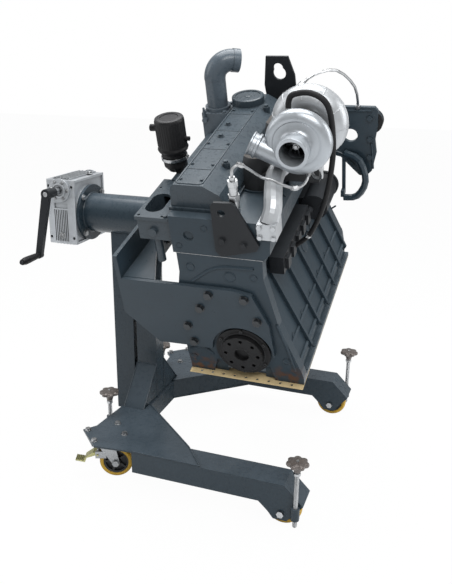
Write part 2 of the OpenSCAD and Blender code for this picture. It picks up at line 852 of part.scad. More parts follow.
module stand_bolts() {
    color("#c3c6c8") in_stand() {
        for (side = [-1, 1]) {
            at_caster(side) for (p = caster_bolts) translate([p[0], p[1], 0]) {
                translate([0, 0, leg_top + plate_t]) bolt_head(bolt_d);
                translate([0, 0, leg_top - caster_plate_t - bolt_d * 0.7])
                    cylinder(d = bolt_d, h = caster_plate_t + bolt_d * 0.7 + plate_t);
                translate([0, 0, leg_top - caster_plate_t - bolt_d * 0.7])
                    cylinder(d = bolt_d * 1.7, h = bolt_d * 0.7, $fn = 6);
            }
            translate([wheel_x, side * leg_y, axle_z]) {
                translate([0, -leg_w / 2 - axle_d * 0.6, 0]) rod_y(axle_d, leg_w + axle_d * 1.2);
                for (end = [-1, 1]) on_side(end) translate([0, leg_w / 2, 0]) rotate([-90, 0, 0])
                    cylinder(d = axle_d * 1.6, h = axle_d * 0.6, $fn = 6);
            }
        }
        for (i = [0 : flange_bolts - 1])
            translate([tube_left, 0, axis_h]) rotate([45 + i * 360 / flange_bolts, 0, 0])
                translate([flange_t, flange_pcd / 2, 0]) {
                    rotate([0, 90, 0]) bolt_head(bolt_d);
                    translate([-flange_t, 0, 0]) rod_x(bolt_d, flange_t);
                }
        for (i = [0 : cover_bolts - 1])
            translate([gearbox_left - cover_t, 0, axis_h]) rotate([(i + 0.5) * 360 / cover_bolts, 0, 0])
                translate([0, cover_d / 2 - bolt_d, 0]) rotate([0, -90, 0]) bolt_head(bolt_d * 0.6);
        for (i = [0 : input_bolts - 1])
            translate([gearbox_mid, -gearbox_y / 2 - cover_t, axis_h + worm_rise]) rotate([0, i * 360 / input_bolts, 0])
                translate([input_cover_d / 2 - bolt_d * 0.8, 0, 0]) rotate([90, 0, 0]) bolt_head(bolt_d * 0.5);
    }
}

// Bearing tube with its gearbox flange

module bearing_tube() {
    bore = bearing_tube_d - 2 * bearing_tube_wall;
    color("#3f4a55") in_stand() translate([tube_left, 0, axis_h]) difference() {
        union() {
            rod_x(bearing_tube_d, bearing_tube_len);
            rod_x(flange_d, flange_t);
        }
        translate([-over, 0, 0]) rod_x(bore, bearing_tube_len + 2 * over);
        for (i = [0 : flange_bolts - 1])
            rotate([45 + i * 360 / flange_bolts, 0, 0])
                translate([-over, flange_pcd / 2, 0]) rod_x(bolt_d + 1, flange_t + 2 * over);
    }
}

module ring_x(outer, inner, width) {
    difference() {
        rod_x(outer, width);
        translate([-over, 0, 0]) rod_x(inner, width + 2 * over);
    }
}

// Bearings: two in the bearing tube, two at the worm wheel's hub, two on the worm

module shaft_bearings() {
    bore = bearing_tube_d - 2 * bearing_tube_wall;
    color("#9fa4a8") in_stand() {
        for (x = [tube_left + flange_t, tube_right - bearing_w])
            translate([x, 0, axis_h]) ring_x(bore - 2 * run_gap, shaft_d + 2 * run_gap, bearing_w);
        for (x = [gearbox_left, gearbox_right - hub_bearing_w])
            translate([x, 0, axis_h]) ring_x(hub_tunnel_d - 2 * run_gap, hub_d + 2 * run_gap, hub_bearing_w);
        for (y = [-gearbox_y / 2, gearbox_y / 2 - worm_bearing_w])
            translate([gearbox_mid, y, axis_h + worm_rise]) rotate([0, 0, 90])
                ring_x(worm_tunnel_d - 2 * run_gap, input_d + 2 * run_gap, worm_bearing_w);
    }
}

// Gearbox housing with cooling ribs low on its near face

module gearbox_housing() {
    low = axis_h - gearbox_below;
    tall = gearbox_below + gearbox_above;
    corner = gearbox_x * 0.06;
    rib_field_w = gearbox_x * 0.46;
    rib_field_h = tall * 0.5;
    rib_t = rib_field_w / (2 * rib_count + 1);
    color("#b4b7b8") in_stand() difference() {
        translate([0, 0, low]) linear_extrude(tall) polygon([
            [gearbox_left + corner, -gearbox_y / 2], [gearbox_right, -gearbox_y / 2],
            [gearbox_right, gearbox_y / 2], [gearbox_left + corner, gearbox_y / 2],
            [gearbox_left, gearbox_y / 2 - corner], [gearbox_left, corner - gearbox_y / 2]
        ]);
        translate([gearbox_mid - wheel_face / 2 - gearbox_wall, 0, axis_h])
            rod_x(2 * (wheel_tip_r + gearbox_wall), wheel_face + 2 * gearbox_wall);
        translate([gearbox_left - over, 0, axis_h]) rod_x(hub_tunnel_d, gearbox_x + 2 * over);
        translate([gearbox_mid, -gearbox_y / 2 - over, axis_h + worm_rise]) rod_y(worm_tunnel_d, gearbox_y + 2 * over);
        for (i = [0 : rib_count])
            translate([gearbox_mid - rib_field_w / 2 + rib_t * (2 * i - 0.5), -gearbox_y / 2 - over, low + tall * 0.04])
                cube([rib_t, rib_depth + over, rib_field_h]);
        translate([gearbox_mid - rib_field_w / 2, -gearbox_y / 2 - over, low + tall * 0.56])
            cube([rib_field_w, rib_depth / 2 + over, tall * 0.08]);
        for (x = [-1, 1], z = [0.1, 0.9])
            translate([gearbox_mid + x * gearbox_x * 0.4, -gearbox_y / 2 - over, low + tall * z])
                rod_y(foot_hole_d, foot_hole_l + over);
        translate([gearbox_right - rib_depth / 2, 0, 0]) difference() {
            translate([0, gearbox_wall - gearbox_y / 2, low + gearbox_wall])
                cube([rib_depth, gearbox_y - 2 * gearbox_wall, tall - 2 * gearbox_wall]);
            translate([-over, 0, axis_h]) rod_x(flange_d, rib_depth + 2 * over);
        }
    }
}

module gearbox_covers() {
    color("#a6a9aa") in_stand() {
        translate([gearbox_left - cover_t, 0, axis_h]) rod_x(cover_d, cover_t);
        translate([gearbox_mid, -gearbox_y / 2 - cover_t, axis_h + worm_rise]) difference() {
            rod_y(input_cover_d, cover_t);
            translate([0, -over, 0]) rod_y(input_d + 4 * run_gap, cover_t + 2 * over);
        }
        translate([gearbox_mid, gearbox_y / 2, axis_h + worm_rise]) rod_y(worm_tunnel_d + 4 * cover_t, cover_t);
    }
}

// Worm with its input end, and the crank

module worm_shaft() {
    worm_half = wheel_face;
    thread_pitch = PI * 2 * (worm_rise - worm_core_r - 3) / worm_wheel_teeth;
    color("#c9ccce") in_stand() translate([gearbox_mid, 0, axis_h + worm_rise]) {
        translate([0, crank_y + arm_t / 3, 0]) rod_y(input_d, gearbox_y / 2 - crank_y - arm_t / 3);
        translate([0, -worm_half, 0]) rod_y(2 * worm_core_r, 2 * worm_half);
        for (i = [-4 : 4])
            translate([0, i * thread_pitch - thread_pitch * 0.22, 0]) rod_y(2 * worm_tip_r, thread_pitch * 0.44);
    }
}

module at_crank() {
    in_stand() translate([gearbox_mid, crank_y, axis_h + worm_rise]) rotate([0, crank_lean, 0]) children();
}

module crank_arm() {
    hub_l = 52;
    color("#2a2c2f") at_crank() {
        difference() {
            union() {
                rod_y(2 * hub_r, hub_l);
                slab_y(arm_t) {
                    circle(d = arm_w);
                    polygon([
                        [-arm_w * 0.46, 0], [arm_w * 0.46, 0],
                        [arm_w * 0.36, -crank_len], [-arm_w * 0.36, -crank_len]
                    ]);
                    translate([0, -crank_len]) circle(d = arm_w * 0.8);
                }
            }
            translate([0, arm_t / 3, 0]) rod_y(input_d + 2 * run_gap, hub_l);
        }
        translate([0, 0, -crank_len]) {
            translate([0, -grip_len - grip_pin_d, 0]) rod_y(grip_pin_d, grip_len + grip_pin_d);
            translate([0, -grip_pin_d * 0.5, 0]) rod_y(grip_pin_d * 2, grip_pin_d * 0.5);
            translate([0, -grip_len - grip_pin_d, 0]) rod_y(grip_pin_d * 1.6, grip_pin_d * 0.4);
        }
    }
}

module crank_grip() {
    r = grip_d / 2;
    start = grip_pin_d * 0.5 + seat_gap;
    span = grip_len - seat_gap;
    color("#26282a") at_crank() translate([0, -start, -crank_len]) rotate([90, 0, 0])
        rotate_extrude() polygon([
            [grip_pin_d / 2 + run_gap, 0], [r * 0.74, 0], [r * 0.8, span * 0.06],
            [r * 0.86, span * 0.3], [r, span * 0.62], [r * 0.96, span * 0.86], [r * 0.8, span],
            [grip_pin_d / 2 + run_gap, span]
        ]);
}

// Turning shaft, worm wheel on its end, and the bracket that carries the engine

module turning_shaft() {
    color("#8f9498") in_stand() translate([0, 0, axis_h]) {
        translate([gearbox_left, 0, 0]) rod_x(spigot_d, gearbox_x + flange_t);
        translate([tube_left + flange_t, 0, 0]) rod_x(shaft_d, bearing_tube_len - flange_t + side_gap);
        translate([tube_right + side_gap, 0, 0]) difference() {
            rod_x(bracket_flange_d, bracket_flange_t);
            rotate([tilt, 0, 0]) bracket_bolt_holes(bracket_flange_t);
        }
    }
}

module bracket_bolt_holes(depth) {
    for (i = [0 : bracket_bolts - 1])
        rotate([i * 360 / bracket_bolts, 0, 0])
            translate([-over, bracket_pcd / 2, 0]) rod_x(2 * rear_bolt_r + 1, depth + 2 * over);
}

module worm_wheel() {
    gear_m = 2 * wheel_tip_r / (worm_wheel_teeth + 1.6);
    color("#b58a45") in_stand() translate([0, 0, axis_h]) difference() {
        union() {
            translate([gearbox_mid - wheel_face / 2, 0, 0]) slab_x(wheel_face)
                polygon(gear_outline(worm_wheel_teeth, gear_m));
            translate([gearbox_left + side_gap, 0, 0]) rod_x(hub_d, gearbox_x - side_gap);
        }
        translate([gearbox_left - over, 0, 0]) rod_x(spigot_d + 2 * run_gap, gearbox_x + 2 * over);
    }
}

// Engine bracket: a plate on the block's rear face, a long side plate on the shaft flange, two gussets

module engine_bracket() {
    color("#46515c") on_engine() difference() {
        union() {
            translate([0, -bracket_t, 0]) slab_y(bracket_t) polygon(rear_plate);
            translate([bracket_left, -bracket_t, crank_drop - side_plate_half])
                cube([bracket_t, side_plate_y, 2 * side_plate_half]);
            for (z = [rear_plate[0][1] - gusset_t, crank_drop - side_plate_half])
                translate([bracket_left + bracket_t, 0, z]) linear_extrude(gusset_t)
                    polygon([[0, 0], [gusset_x, 0], [0, gusset_y]]);
        }
        translate([0, -bracket_t - over, 0]) rod_y(2 * rear_plate_cut_r, bracket_t + 2 * over);
        for (p = rear_bolts)
            translate([p[0], -bracket_t - over, p[1]]) rod_y(2 * rear_bolt_r, bracket_t + 2 * over);
        translate([bracket_left, rear_reach, crank_drop]) bracket_bolt_holes(bracket_t);
    }
}

module engine_bolts() {
    color("#5a6066") {
        on_engine() {
            for (p = rear_bolts) translate([p[0], -bracket_t, p[1]]) {
                rotate([90, 0, 0]) bolt_head(2 * rear_bolt_r);
                rod_y(2 * rear_bolt_r - run_gap, bracket_t + rear_wall_t / 2);
            }
            translate([bracket_left, rear_reach, crank_drop])
                for (i = [0 : bracket_bolts - 1]) rotate([i * 360 / bracket_bolts, 0, 0])
                    translate([bracket_t, bracket_pcd / 2, 0]) {
                        rotate([0, 90, 0]) bolt_head(2 * rear_bolt_r);
                        translate([-bracket_t - bracket_flange_t, 0, 0])
                            rod_x(2 * rear_bolt_r, bracket_t + bracket_flange_t);
                    }
            for (y = [0 : rail_bolts - 1], x = [-1, 1])
                translate([x * (rail_w / 2 - gasket_band / 2), first_cyl / 3 + y * rail_bolt_pitch, -rail_drop - gasket_t])
                    rotate([180, 0, 0]) {
                        translate([0, 0, -gasket_t]) cylinder(d = rail_bolt_d, h = gasket_t);
                        cylinder(d = rail_bolt_d * 1.7, h = rail_bolt_d * 0.5, $fn = 6);
                    }
        }
    }
}

// Cylinder block

module each_cylinder() {
    for (i = [0 : n_cyl - 1]) translate([0, first_cyl + i * cyl_pitch, 0]) children();
}

module cylinder_block() {
    bay_t = cyl_pitch - main_t;
    color("#3d4853") on_engine() difference() {
        union() {
            slab_y(block_len) polygon(concat(block_right, block_left));
            slab_y(rear_wall_t) polygon(concat(rear_right, rear_left));
            for (i = [1 : n_cyl]) translate([0, first_cyl + (i - 0.5) * cyl_pitch - rib_w / 2, 0])
                slab_y(rib_w) polygon(flank_rib);
            for (i = [0 : n_cyl - 1]) translate([block_left[2][0] - rib_w / 2, first_cyl + i * cyl_pitch, 210])
                rod_x(core_plug_d * 1.3, rib_w);
        }
        each_cylinder() {
            translate([0, -bay_t / 2, 0]) rod_y(2 * bay_r, bay_t);
            translate([0, -bay_t / 2, 0]) slab_y(bay_t) polygon([
                [bay_r * 0.9, bay_r * 0.4], [bay_low, -rail_drop / 2], [bay_low + rib_w, -rail_drop - over],
                [-bay_low - rib_w, -rail_drop - over], [-bay_low, -rail_drop / 2], [-bay_r * 0.9, bay_r * 0.4]
            ]);
            cylinder(d = bore_d, h = deck_h + over);
        }
        translate([0, -over, 0]) rod_y(2 * (main_r + run_gap), block_len + 2 * over);
        translate([0, -over, 0]) rod_y(2 * spigot_r, rear_wall_t - main_t + over);
        translate([cam_x, rear_wall_t - main_t, cam_z]) rod_y(2 * (cam_r + run_gap), block_len);
        for (i = [0 : n_cyl]) translate([-cap_w / 2, first_cyl + (i - 0.5) * cyl_pitch - main_t / 2 - over, -cap_h - rail_drop])
            cube([cap_w, main_t + 2 * over, cap_h + rail_drop]);
        translate([0, -over, 0]) slab_y(rear_wall_t - main_t + over) polygon(rear_notch);
        for (p = rear_bolts) translate([p[0], -over, p[1]]) rod_y(2 * rear_bolt_r, rear_wall_t / 2 + over);
        for (i = [0 : n_cyl - 1]) translate([block_left[2][0] - rib_w, first_cyl + i * cyl_pitch, 210])
            rod_x(core_plug_d, rib_w * 0.8);
    }
}

module bearing_caps() {
    color("#4a4d50") on_engine() for (i = [0 : n_cyl])
        translate([0, first_cyl + (i - 0.5) * cyl_pitch - main_t / 2, 0]) difference() {
            slab_y(main_t) polygon([
                [-cap_w / 2, 0], [cap_w / 2, 0], [cap_w / 2, -cap_h * 0.7], [cap_w * 0.3, -cap_h],
                [-cap_w * 0.3, -cap_h], [-cap_w / 2, -cap_h * 0.7]
            ]);
            translate([0, -over, 0]) rod_y(2 * (main_r + run_gap), main_t + 2 * over);
        }
}

module rear_seal_carrier() {
    color("#5c6165") on_engine() translate([0, -seal_t, 0]) difference() {
        rod_y(2 * seal_r, seal_t);
        translate([0, -over, 0]) rod_y(2 * (crank_neck_r + run_gap), seal_t + 2 * over);
        for (i = [0 : 5]) rotate([0, 30 + i * 60, 0])
            translate([seal_r * 0.9, -over, 0]) rod_y(rail_bolt_d, seal_t / 2 + over);
    }
}

module pan_gasket() {
    z = -rail_drop - gasket_t;
    color("#c9b48a") on_engine() translate([0, 0, z]) difference() {
        union() {
            translate([-rail_w / 2, 0, 0]) cube([rail_w, block_len, gasket_t]);
            translate([-rail_w / 2, -gasket_lip, 0]) cube([rail_w, gasket_lip, gasket_t]);
        }
        translate([gasket_band - rail_w / 2, gasket_band, -over])
            cube([rail_w - 2 * gasket_band, block_len - 2 * gasket_band, gasket_t + 2 * over]);
        for (y = [0 : rail_bolts - 1], x = [-1, 1])
            translate([x * (rail_w / 2 - gasket_band / 2), first_cyl / 3 + y * rail_bolt_pitch, -over])
                cylinder(d = rail_bolt_d + 1, h = gasket_t + 2 * over);
        for (i = [-4 : 4])
            translate([i * rail_w / 10, -gasket_lip * 0.4, -over]) cylinder(d = rail_bolt_d + 1, h = gasket_t + 2 * over);
    }
}

// Head, rocker cover and the intake side

module cylinder_head() {
    color("#414c57") on_engine() difference() {
        union() {
            slab_y(block_len) polygon(head_outline);
            for (y = lobe_ys) translate([lobe_x, y, head_top - over]) difference() {
                cylinder(r = lobe_r * 1.1, h = rib_w / 2 + over);
                cover_side_cut();
            }
        }
        each_cylinder() {
            for (y = [-1, 1]) translate([0, y * bore_d * 0.22, deck_h - over]) cylinder(d = bore_d * 0.38, h = head_h * 0.3);
            translate([head_outline[0][0] - over, -bore_d * 0.3, intake_low + cover_wall * 3])
                cube([-head_outline[0][0] - bore_d * 0.3, bore_d * 0.4, head_h * 0.3]);
        }
        for (x = [-140, -30]) translate([x, -over, deck_h + head_h * 0.5]) rod_y(head_plug_d, rib_w / 2 + over);
        branch_foot_box();
    }
}

// What the cover's side takes from the round parts beside it
module cover_side_cut() {
    translate([-2 * lobe_r - lobe_x + cover_flange_x, -2 * lobe_r, -over])
        cube([2 * lobe_r, 4 * lobe_r, 4 * lobe_r]);
}

module rocker_cover() {
    span = cover_end - cover_start;
    inner = [
        for (p = cover_outline) [
            p[0] + (p[0] < cap_disc_x ? cover_wall : -cover_wall),
            p[1] > head_top ? p[1] - cover_wall : p[1] - over
        ]
    ];
    color("#48535e") on_engine() {
        difference() {
            union() {
                translate([0, cover_start, 0]) slab_y(span) polygon(cover_outline);
                translate([0, cover_start - cover_wall * 1.6, 0]) slab_y(span + cover_wall * 3.2) polygon([
                    cover_outline[0] + [-cover_wall, 0], cover_outline[0] + [-cover_wall, cover_wall * 2],
                    [cover_flange_x - over, head_top + cover_wall * 2], [cover_flange_x - over, head_top]
                ]);
                translate([cap_disc_x, cap_disc_y, head_top + cover_h / 2])
                    cylinder(d = cap_disc_d, h = cover_h / 2 + cap_disc_rise);
            }
            translate([0, cover_start + cover_wall, 0]) slab_y(span - 2 * cover_wall) polygon(inner);
            for (i = [0 : n_cyl - 2])
                translate([cover_outline[6][0] + cover_wall * 4, first_cyl + (i + 0.5) * cyl_pitch, head_top + cover_wall * 2])
                    cylinder(r = cyl_pitch * 0.28, h = cover_h);
        }
        for (i = [0 : n_cyl - 2])
            translate([cover_outline[6][0] + cover_wall * 4, first_cyl + (i + 0.5) * cyl_pitch, head_top + cover_wall * 2])
                intersection() {
                    difference() {
                        cylinder(r = cyl_pitch * 0.28 + cover_wall, h = cover_h);
                        translate([0, 0, -over]) cylinder(r = cyl_pitch * 0.28, h = cover_h + 2 * over);
                    }
                    rotate([90, 0, 0]) translate([0, 0, -cyl_pitch / 2]) linear_extrude(cyl_pitch)
                        polygon([
                            for (p = cover_outline)
                                [p[0] - cover_outline[6][0] - cover_wall * 4, p[1] - head_top - cover_wall * 2]
                        ]);
                }
        for (p = cover_bolts_xy) translate([p[0], p[1], cover_top - cover_wall * 4]) {
            cylinder(d = bolt_d * 2, h = cover_wall * 4.4);
            translate([0, 0, cover_wall * 4.4]) bolt_head(bolt_d * 0.8);
        }
    }
}

module intake_manifold() {
    color("#444f5a") on_engine() difference() {
        union() {
            translate([port_left, port_start, port_top - port_flange_t])
                cube([port_right - port_left, port_len, port_flange_t]);
            translate([port_left + cover_wall, port_start + cover_wall, intake_low])
                cube([port_right - port_left - cover_wall + over * 4, port_len - 2 * cover_wall, port_top - intake_low - over]);
            translate([runner_left, port_start + port_len - cover_wall * 2, intake_low])
                cube([-200 - runner_left, runner_end - port_start - port_len, port_top - intake_low + rib_w / 2]);
            translate([-262, port_start - rib_w / 2, intake_low + port_flange_t * 2.6]) rod_y(drain_d, rib_w);
            translate([-262, port_start + drain_d, intake_low - drain_h]) cylinder(d = drain_d, h = drain_h + over);
            translate([port_right - rib_w, port_start + rib_w, port_top]) cylinder(d = rib_w * 1.4, h = rib_w / 2, $fn = 6);
        }
        translate([runner_left + cover_wall, port_start + 2 * cover_wall, intake_low + cover_wall])
            cube([-200 - runner_left - 2 * cover_wall, runner_end - 3 * cover_wall - port_start * 2, port_top - intake_low - 3 * cover_wall]);
        translate([port_hole_right - port_hole_x, port_hole_start, intake_low + cover_wall]) {
            translate([port_hole_x / 2, port_hole_x / 2, 0]) cylinder(d = port_hole_x, h = port_top);
            translate([port_hole_x / 2, port_hole_y - port_hole_x / 2, 0]) cylinder(d = port_hole_x, h = port_top);
            translate([0, port_hole_x / 2, 0]) cube([port_hole_x, port_hole_y - port_hole_x, port_top]);
        }
        for (x = [port_left + rib_w, port_right - rib_w * 2], y = [port_start + rib_w, port_hole_start * 2 + port_hole_y])
            translate([x, y, port_top - port_flange_t * 1.5]) cylinder(d = rail_bolt_d, h = port_flange_t * 2);
        each_cylinder() translate([-200 - 2 * cover_wall, -bore_d * 0.3, intake_low + cover_wall * 3])
            cube([3 * cover_wall, bore_d * 0.4, head_h * 0.3]);
    }
}

module breather_canister() {
    base_z = port_top + rib_w;
    r = canister_d / 2;
    color("#24272a") on_engine() translate([canister_x, canister_y, base_z]) {
        difference() {
            rotate_extrude() polygon([
                [0, 0], [r * 0.5, 0], [r * 0.78, canister_h * 0.1], [r * 0.86, canister_h * 0.36],
                [r * 1.0, canister_h * 0.4], [r * 1.06, canister_h * 0.44], [r * 1.0, canister_h * 0.48],
                [r, canister_h * 0.97], [r * 0.96, canister_h], [0, canister_h]
            ]);
        }
        translate([-r * 1.45, 0, canister_h * 0.8]) rod_x(r * 0.46, r);
        translate([0, 0, canister_h * 0.62]) rod_x(r * 0.3, r * 1.3);
        translate([runner_left - canister_x, -r * 0.4, -rib_w / 2]) cube([r * 0.6, r * 0.8, canister_h * 0.2]);
    }
}

module coolant_elbow() {
    stat_w = head_outline[0][0] - stat_left;
    color("#4a545e") on_engine() {
        difference() {
            union() {
                translate([stat_left, elbow_y - stat_y / 2, stat_low])
                    cube([stat_w, stat_y, stat_top - stat_low]);
                translate([elbow_x, elbow_y, stat_top - over]) cylinder(d = elbow_d * 1.2, h = rib_w + over);
                translate([elbow_x, elbow_y, stat_top - over])
                    cylinder(d = elbow_d - side_gap, h = elbow_rise + 2 * over);
                translate([elbow_x, elbow_y, stat_top + elbow_rise]) rotate([90, 0, elbow_turn])
                    translate([-elbow_bend, 0, 0]) {
                        rotate_extrude(angle = elbow_sweep) translate([elbow_bend, 0]) circle(d = elbow_d);
                        rotate([0, 0, elbow_sweep]) translate([elbow_bend, -over, 0])
                            rod_y(elbow_d + 2 * side_gap, elbow_mouth_len + over);
                    }
            }
            translate([elbow_x, elbow_y, stat_top + elbow_rise]) rotate([90, 0, elbow_turn])
                translate([-elbow_bend, 0, 0]) rotate([0, 0, elbow_sweep]) translate([elbow_bend, over, 0])
                    rod_y(elbow_d - 2 * elbow_wall, elbow_mouth_len);
            translate([cover_outline[0][0] - cover_wall - side_gap, elbow_y - stat_y, head_top - side_gap])
                cube([stat_w, 2 * stat_y, stat_top - head_top + 2 * side_gap]);
        }
        for (x = [-1, 1], y = [-1, 1])
            translate([elbow_x + x * stat_w * 0.36, elbow_y + y * stat_y * 0.4, stat_top]) bolt_head(rail_bolt_d);
        translate([stat_left + rib_w, elbow_y - stat_y / 2 - rib_w, stat_top - rib_w * 2]) rod_y(rib_w * 1.6, rib_w + over);
        translate([stat_left + rib_w, elbow_y - stat_y / 2 - rib_w * 0.6, stat_top - rib_w * 2])
            cylinder(d = rib_w * 0.7, h = rib_w * 4);
    }
}

module lifting_eyes() {
    color("#23272b") on_engine() {
        translate([0, -eye_t, 0]) slab_y(eye_t) difference() {
            polygon(rear_eye);
            translate(rear_eye_hole) circle(r = eye_hole_r);
        }
        for (p = rear_eye_bolts) translate([p[0], -eye_t, p[1]]) rotate([90, 0, 0]) bolt_head(bolt_d);
        translate([0, block_len, 0]) slab_y(eye_t) difference() {
            polygon(front_eye);
            translate(front_eye_hole) circle(r = 2 * eye_hole_r);
            translate(front_eye_hole + [-eye_hole_r / 3, eye_hole_r * 1.6]) circle(r = 1.5 * eye_hole_r);
        }
    }
}

// Exhaust side: a log under three tall lobes, and the pedestal that carries the turbocharger

module exhaust_manifold() {
    log_x = lobe_x + lobe_r * 0.8;
    log_z = head_top + log_d * 0.6;
    color("#1f2124") on_engine() difference() {
        union() {
            for (y = lobe_ys) translate([lobe_x, y, head_top + rib_w / 2]) difference() {
                union() {
                    cylinder(r = lobe_r, h = lobe_top - head_top - lobe_r * 0.6);
                    translate([0, 0, lobe_top - head_top - lobe_r * 0.6]) difference() {
                        sphere(r = lobe_r);
                        translate([-lobe_r, -lobe_r, -2 * lobe_r])
                            cube([2 * lobe_r, 2 * lobe_r, 2 * lobe_r - over]);
                        translate([-lobe_r, -lobe_r, lobe_r * 0.6]) cube([2 * lobe_r, 2 * lobe_r, lobe_r]);
                    }
                }
                cover_side_cut();
            }
            translate([log_x, lobe_ys[0] - lobe_r, log_z]) rod_y(log_d, lobe_ys[2] - lobe_ys[0] + 2 * lobe_r);
            translate([log_x, turbine_y + turbine_t * 0.2, head_top + rib_w / 2])
                cube([turbo_x + log_d / 2 - log_x, turbine_t * 0.6, foot_top - head_top - rib_w / 2 - rib_w * 2]);
            translate([turbo_x - log_d * 0.6, turbine_y + turbine_t * 0.1, foot_top - rib_w * 2])
                cube([log_d * 1.2, turbine_t * 0.8, rib_w]);
        }
        translate([log_x, lobe_ys[0], log_z]) rod_y(log_d - 2 * case_wall, lobe_ys[2] - lobe_ys[0]);
        translate([turbo_x, turbine_y + turbine_t / 2, log_z]) cylinder(d = log_d * 0.6, h = foot_top);
        translate([log_x, turbine_y + turbine_t / 2, log_z]) rod_x(log_d * 0.6, turbo_x - log_x);
    }
}

module branch_foot_box() {
    translate([branch_route[5][0] - branch_foot / 2, -rib_w / 2, branch_foot_z])
        cube([branch_foot, branch_foot * 1.1, branch_foot * 0.9]);
}

module exhaust_branch() {
    color("#c6c8ca") on_engine() {
        tube_along(branch_route, branch_d, 12, 4);
        branch_foot_box();
        for (x = [-0.36, 0.36], z = [0.16, 0.74])
            translate([branch_route[5][0] + branch_foot * x, -rib_w / 2, branch_foot_z + branch_foot * z])
                rotate([90, 0, 0]) bolt_head(rail_bolt_d);
    }
}

// Turbocharger

module turbine_housing() {
    mid = turbine_y + turbine_t / 2;
    color("#c2c4c6") on_engine() translate([turbo_x, mid, turbo_z]) difference() {
        union() {
            rotate([90, 0, 0]) rotate_extrude($fn = 96) translate([turbine_d / 2 - scroll_r, 0]) circle(scroll_r);
            translate([0, -scroll_r * 0.8, 0]) rod_y(turbine_d - 2 * scroll_r, scroll_r * 1.7);
            translate([0, scroll_r * 0.8, 0]) rod_y(turbine_wheel_r * 2.5, scroll_r * 0.9);
            translate([0, scroll_r * 1.5, 0]) rod_y(turbine_wheel_r * 3, rib_w);
            translate([-log_d * 0.4, -turbine_t * 0.3, foot_top - rib_w - turbo_z])
                cube([log_d * 0.8, turbine_t * 0.6, scroll_r]);
            translate([-log_d * 0.6, -turbine_t * 0.4, foot_top - rib_w - turbo_z])
                cube([log_d * 1.2, turbine_t * 0.8, rib_w]);
        }
        translate([0, -scroll_r, 0]) rod_y(2 * turbine_wheel_r + side_gap, scroll_r * 3);
        rotate([90, 0, 0]) rotate_extrude() translate([turbine_d / 2 - scroll_r, 0]) circle(scroll_r - case_wall);
        translate([0, 0, foot_top - rib_w - turbo_z - over]) cylinder(d = log_d * 0.6, h = scroll_r);
    }
}

module turbo_centre() {
    color("#8d8f90") on_engine() translate([turbo_x, centre_y, turbo_z]) difference() {
        union() {
            rod_y(compressor_wheel_r * 2.6, rib_w);
            rod_y(turbine_wheel_r * 1.5, centre_t);
            translate([0, centre_t - rib_w, 0]) rod_y(turbine_wheel_r * 2.4, rib_w);
            translate([-log_d * 0.25, rib_w * 1.2, -turbine_wheel_r * 1.5]) cube([log_d * 0.5, centre_t * 0.5, turbine_wheel_r * 3]);
            for (a = [0 : 60 : 300]) rotate([0, a, 0]) translate([compressor_wheel_r * 1.12, rib_w * 0.6, 0])
                rod_y(bolt_d, rib_w);
        }
        translate([0, -over, 0]) rod_y(2 * (turbo_shaft_r + run_gap), centre_t + 2 * over);
    }
}

module compressor_housing() {
    mid = compressor_t / 2;
    color("#d0d2d3") on_engine() translate([turbo_x, compressor_y, turbo_z]) difference() {
        union() {
            translate([0, mid, 0]) rotate([90, 0, 0]) rotate_extrude($fn = 96)
                translate([compressor_d / 2 - volute_r, 0]) circle(volute_r);
            translate([0, mid - volute_r * 0.9, 0]) rod_y(compressor_d - 2 * volute_r, mid + volute_r * 0.9);
            translate([0, compressor_t - rib_w, 0]) rod_y(compressor_d * 0.8, rib_w);
            translate([0, inlet_y - compressor_y, 0]) rod_y(inlet_bore + 2 * case_wall, mid + compressor_y - inlet_y);
            translate([0, inlet_y - compressor_y, 0]) rod_y(inlet_bore + 2 * (case_wall + side_gap), 2 * rib_w);
            translate([0, mid, 0]) rotate([0, outlet_turn, 0]) translate([0, 0, -outlet_axis_r]) {
                rotate([0, -90, 0]) cylinder(d = outlet_d, h = outlet_len + outlet_d);
                translate([-outlet_len - outlet_d, 0, 0]) rotate([0, -90, 0]) cylinder(d = outlet_d * 1.14, h = outlet_d * 0.4);
            }
        }
        translate([0, inlet_y - compressor_y - over, 0]) rod_y(inlet_bore, mid + compressor_y - inlet_y);
        translate([0, mid - compressor_wheel_r * 0.5, 0]) rod_y(2 * compressor_wheel_r + side_gap, compressor_t);
        translate([0, mid, 0]) rotate([0, outlet_turn, 0]) translate([-outlet_d, 0, -outlet_axis_r])
            rotate([0, -90, 0]) cylinder(d = outlet_d * 0.84, h = outlet_len + outlet_d * 2);
    }
}

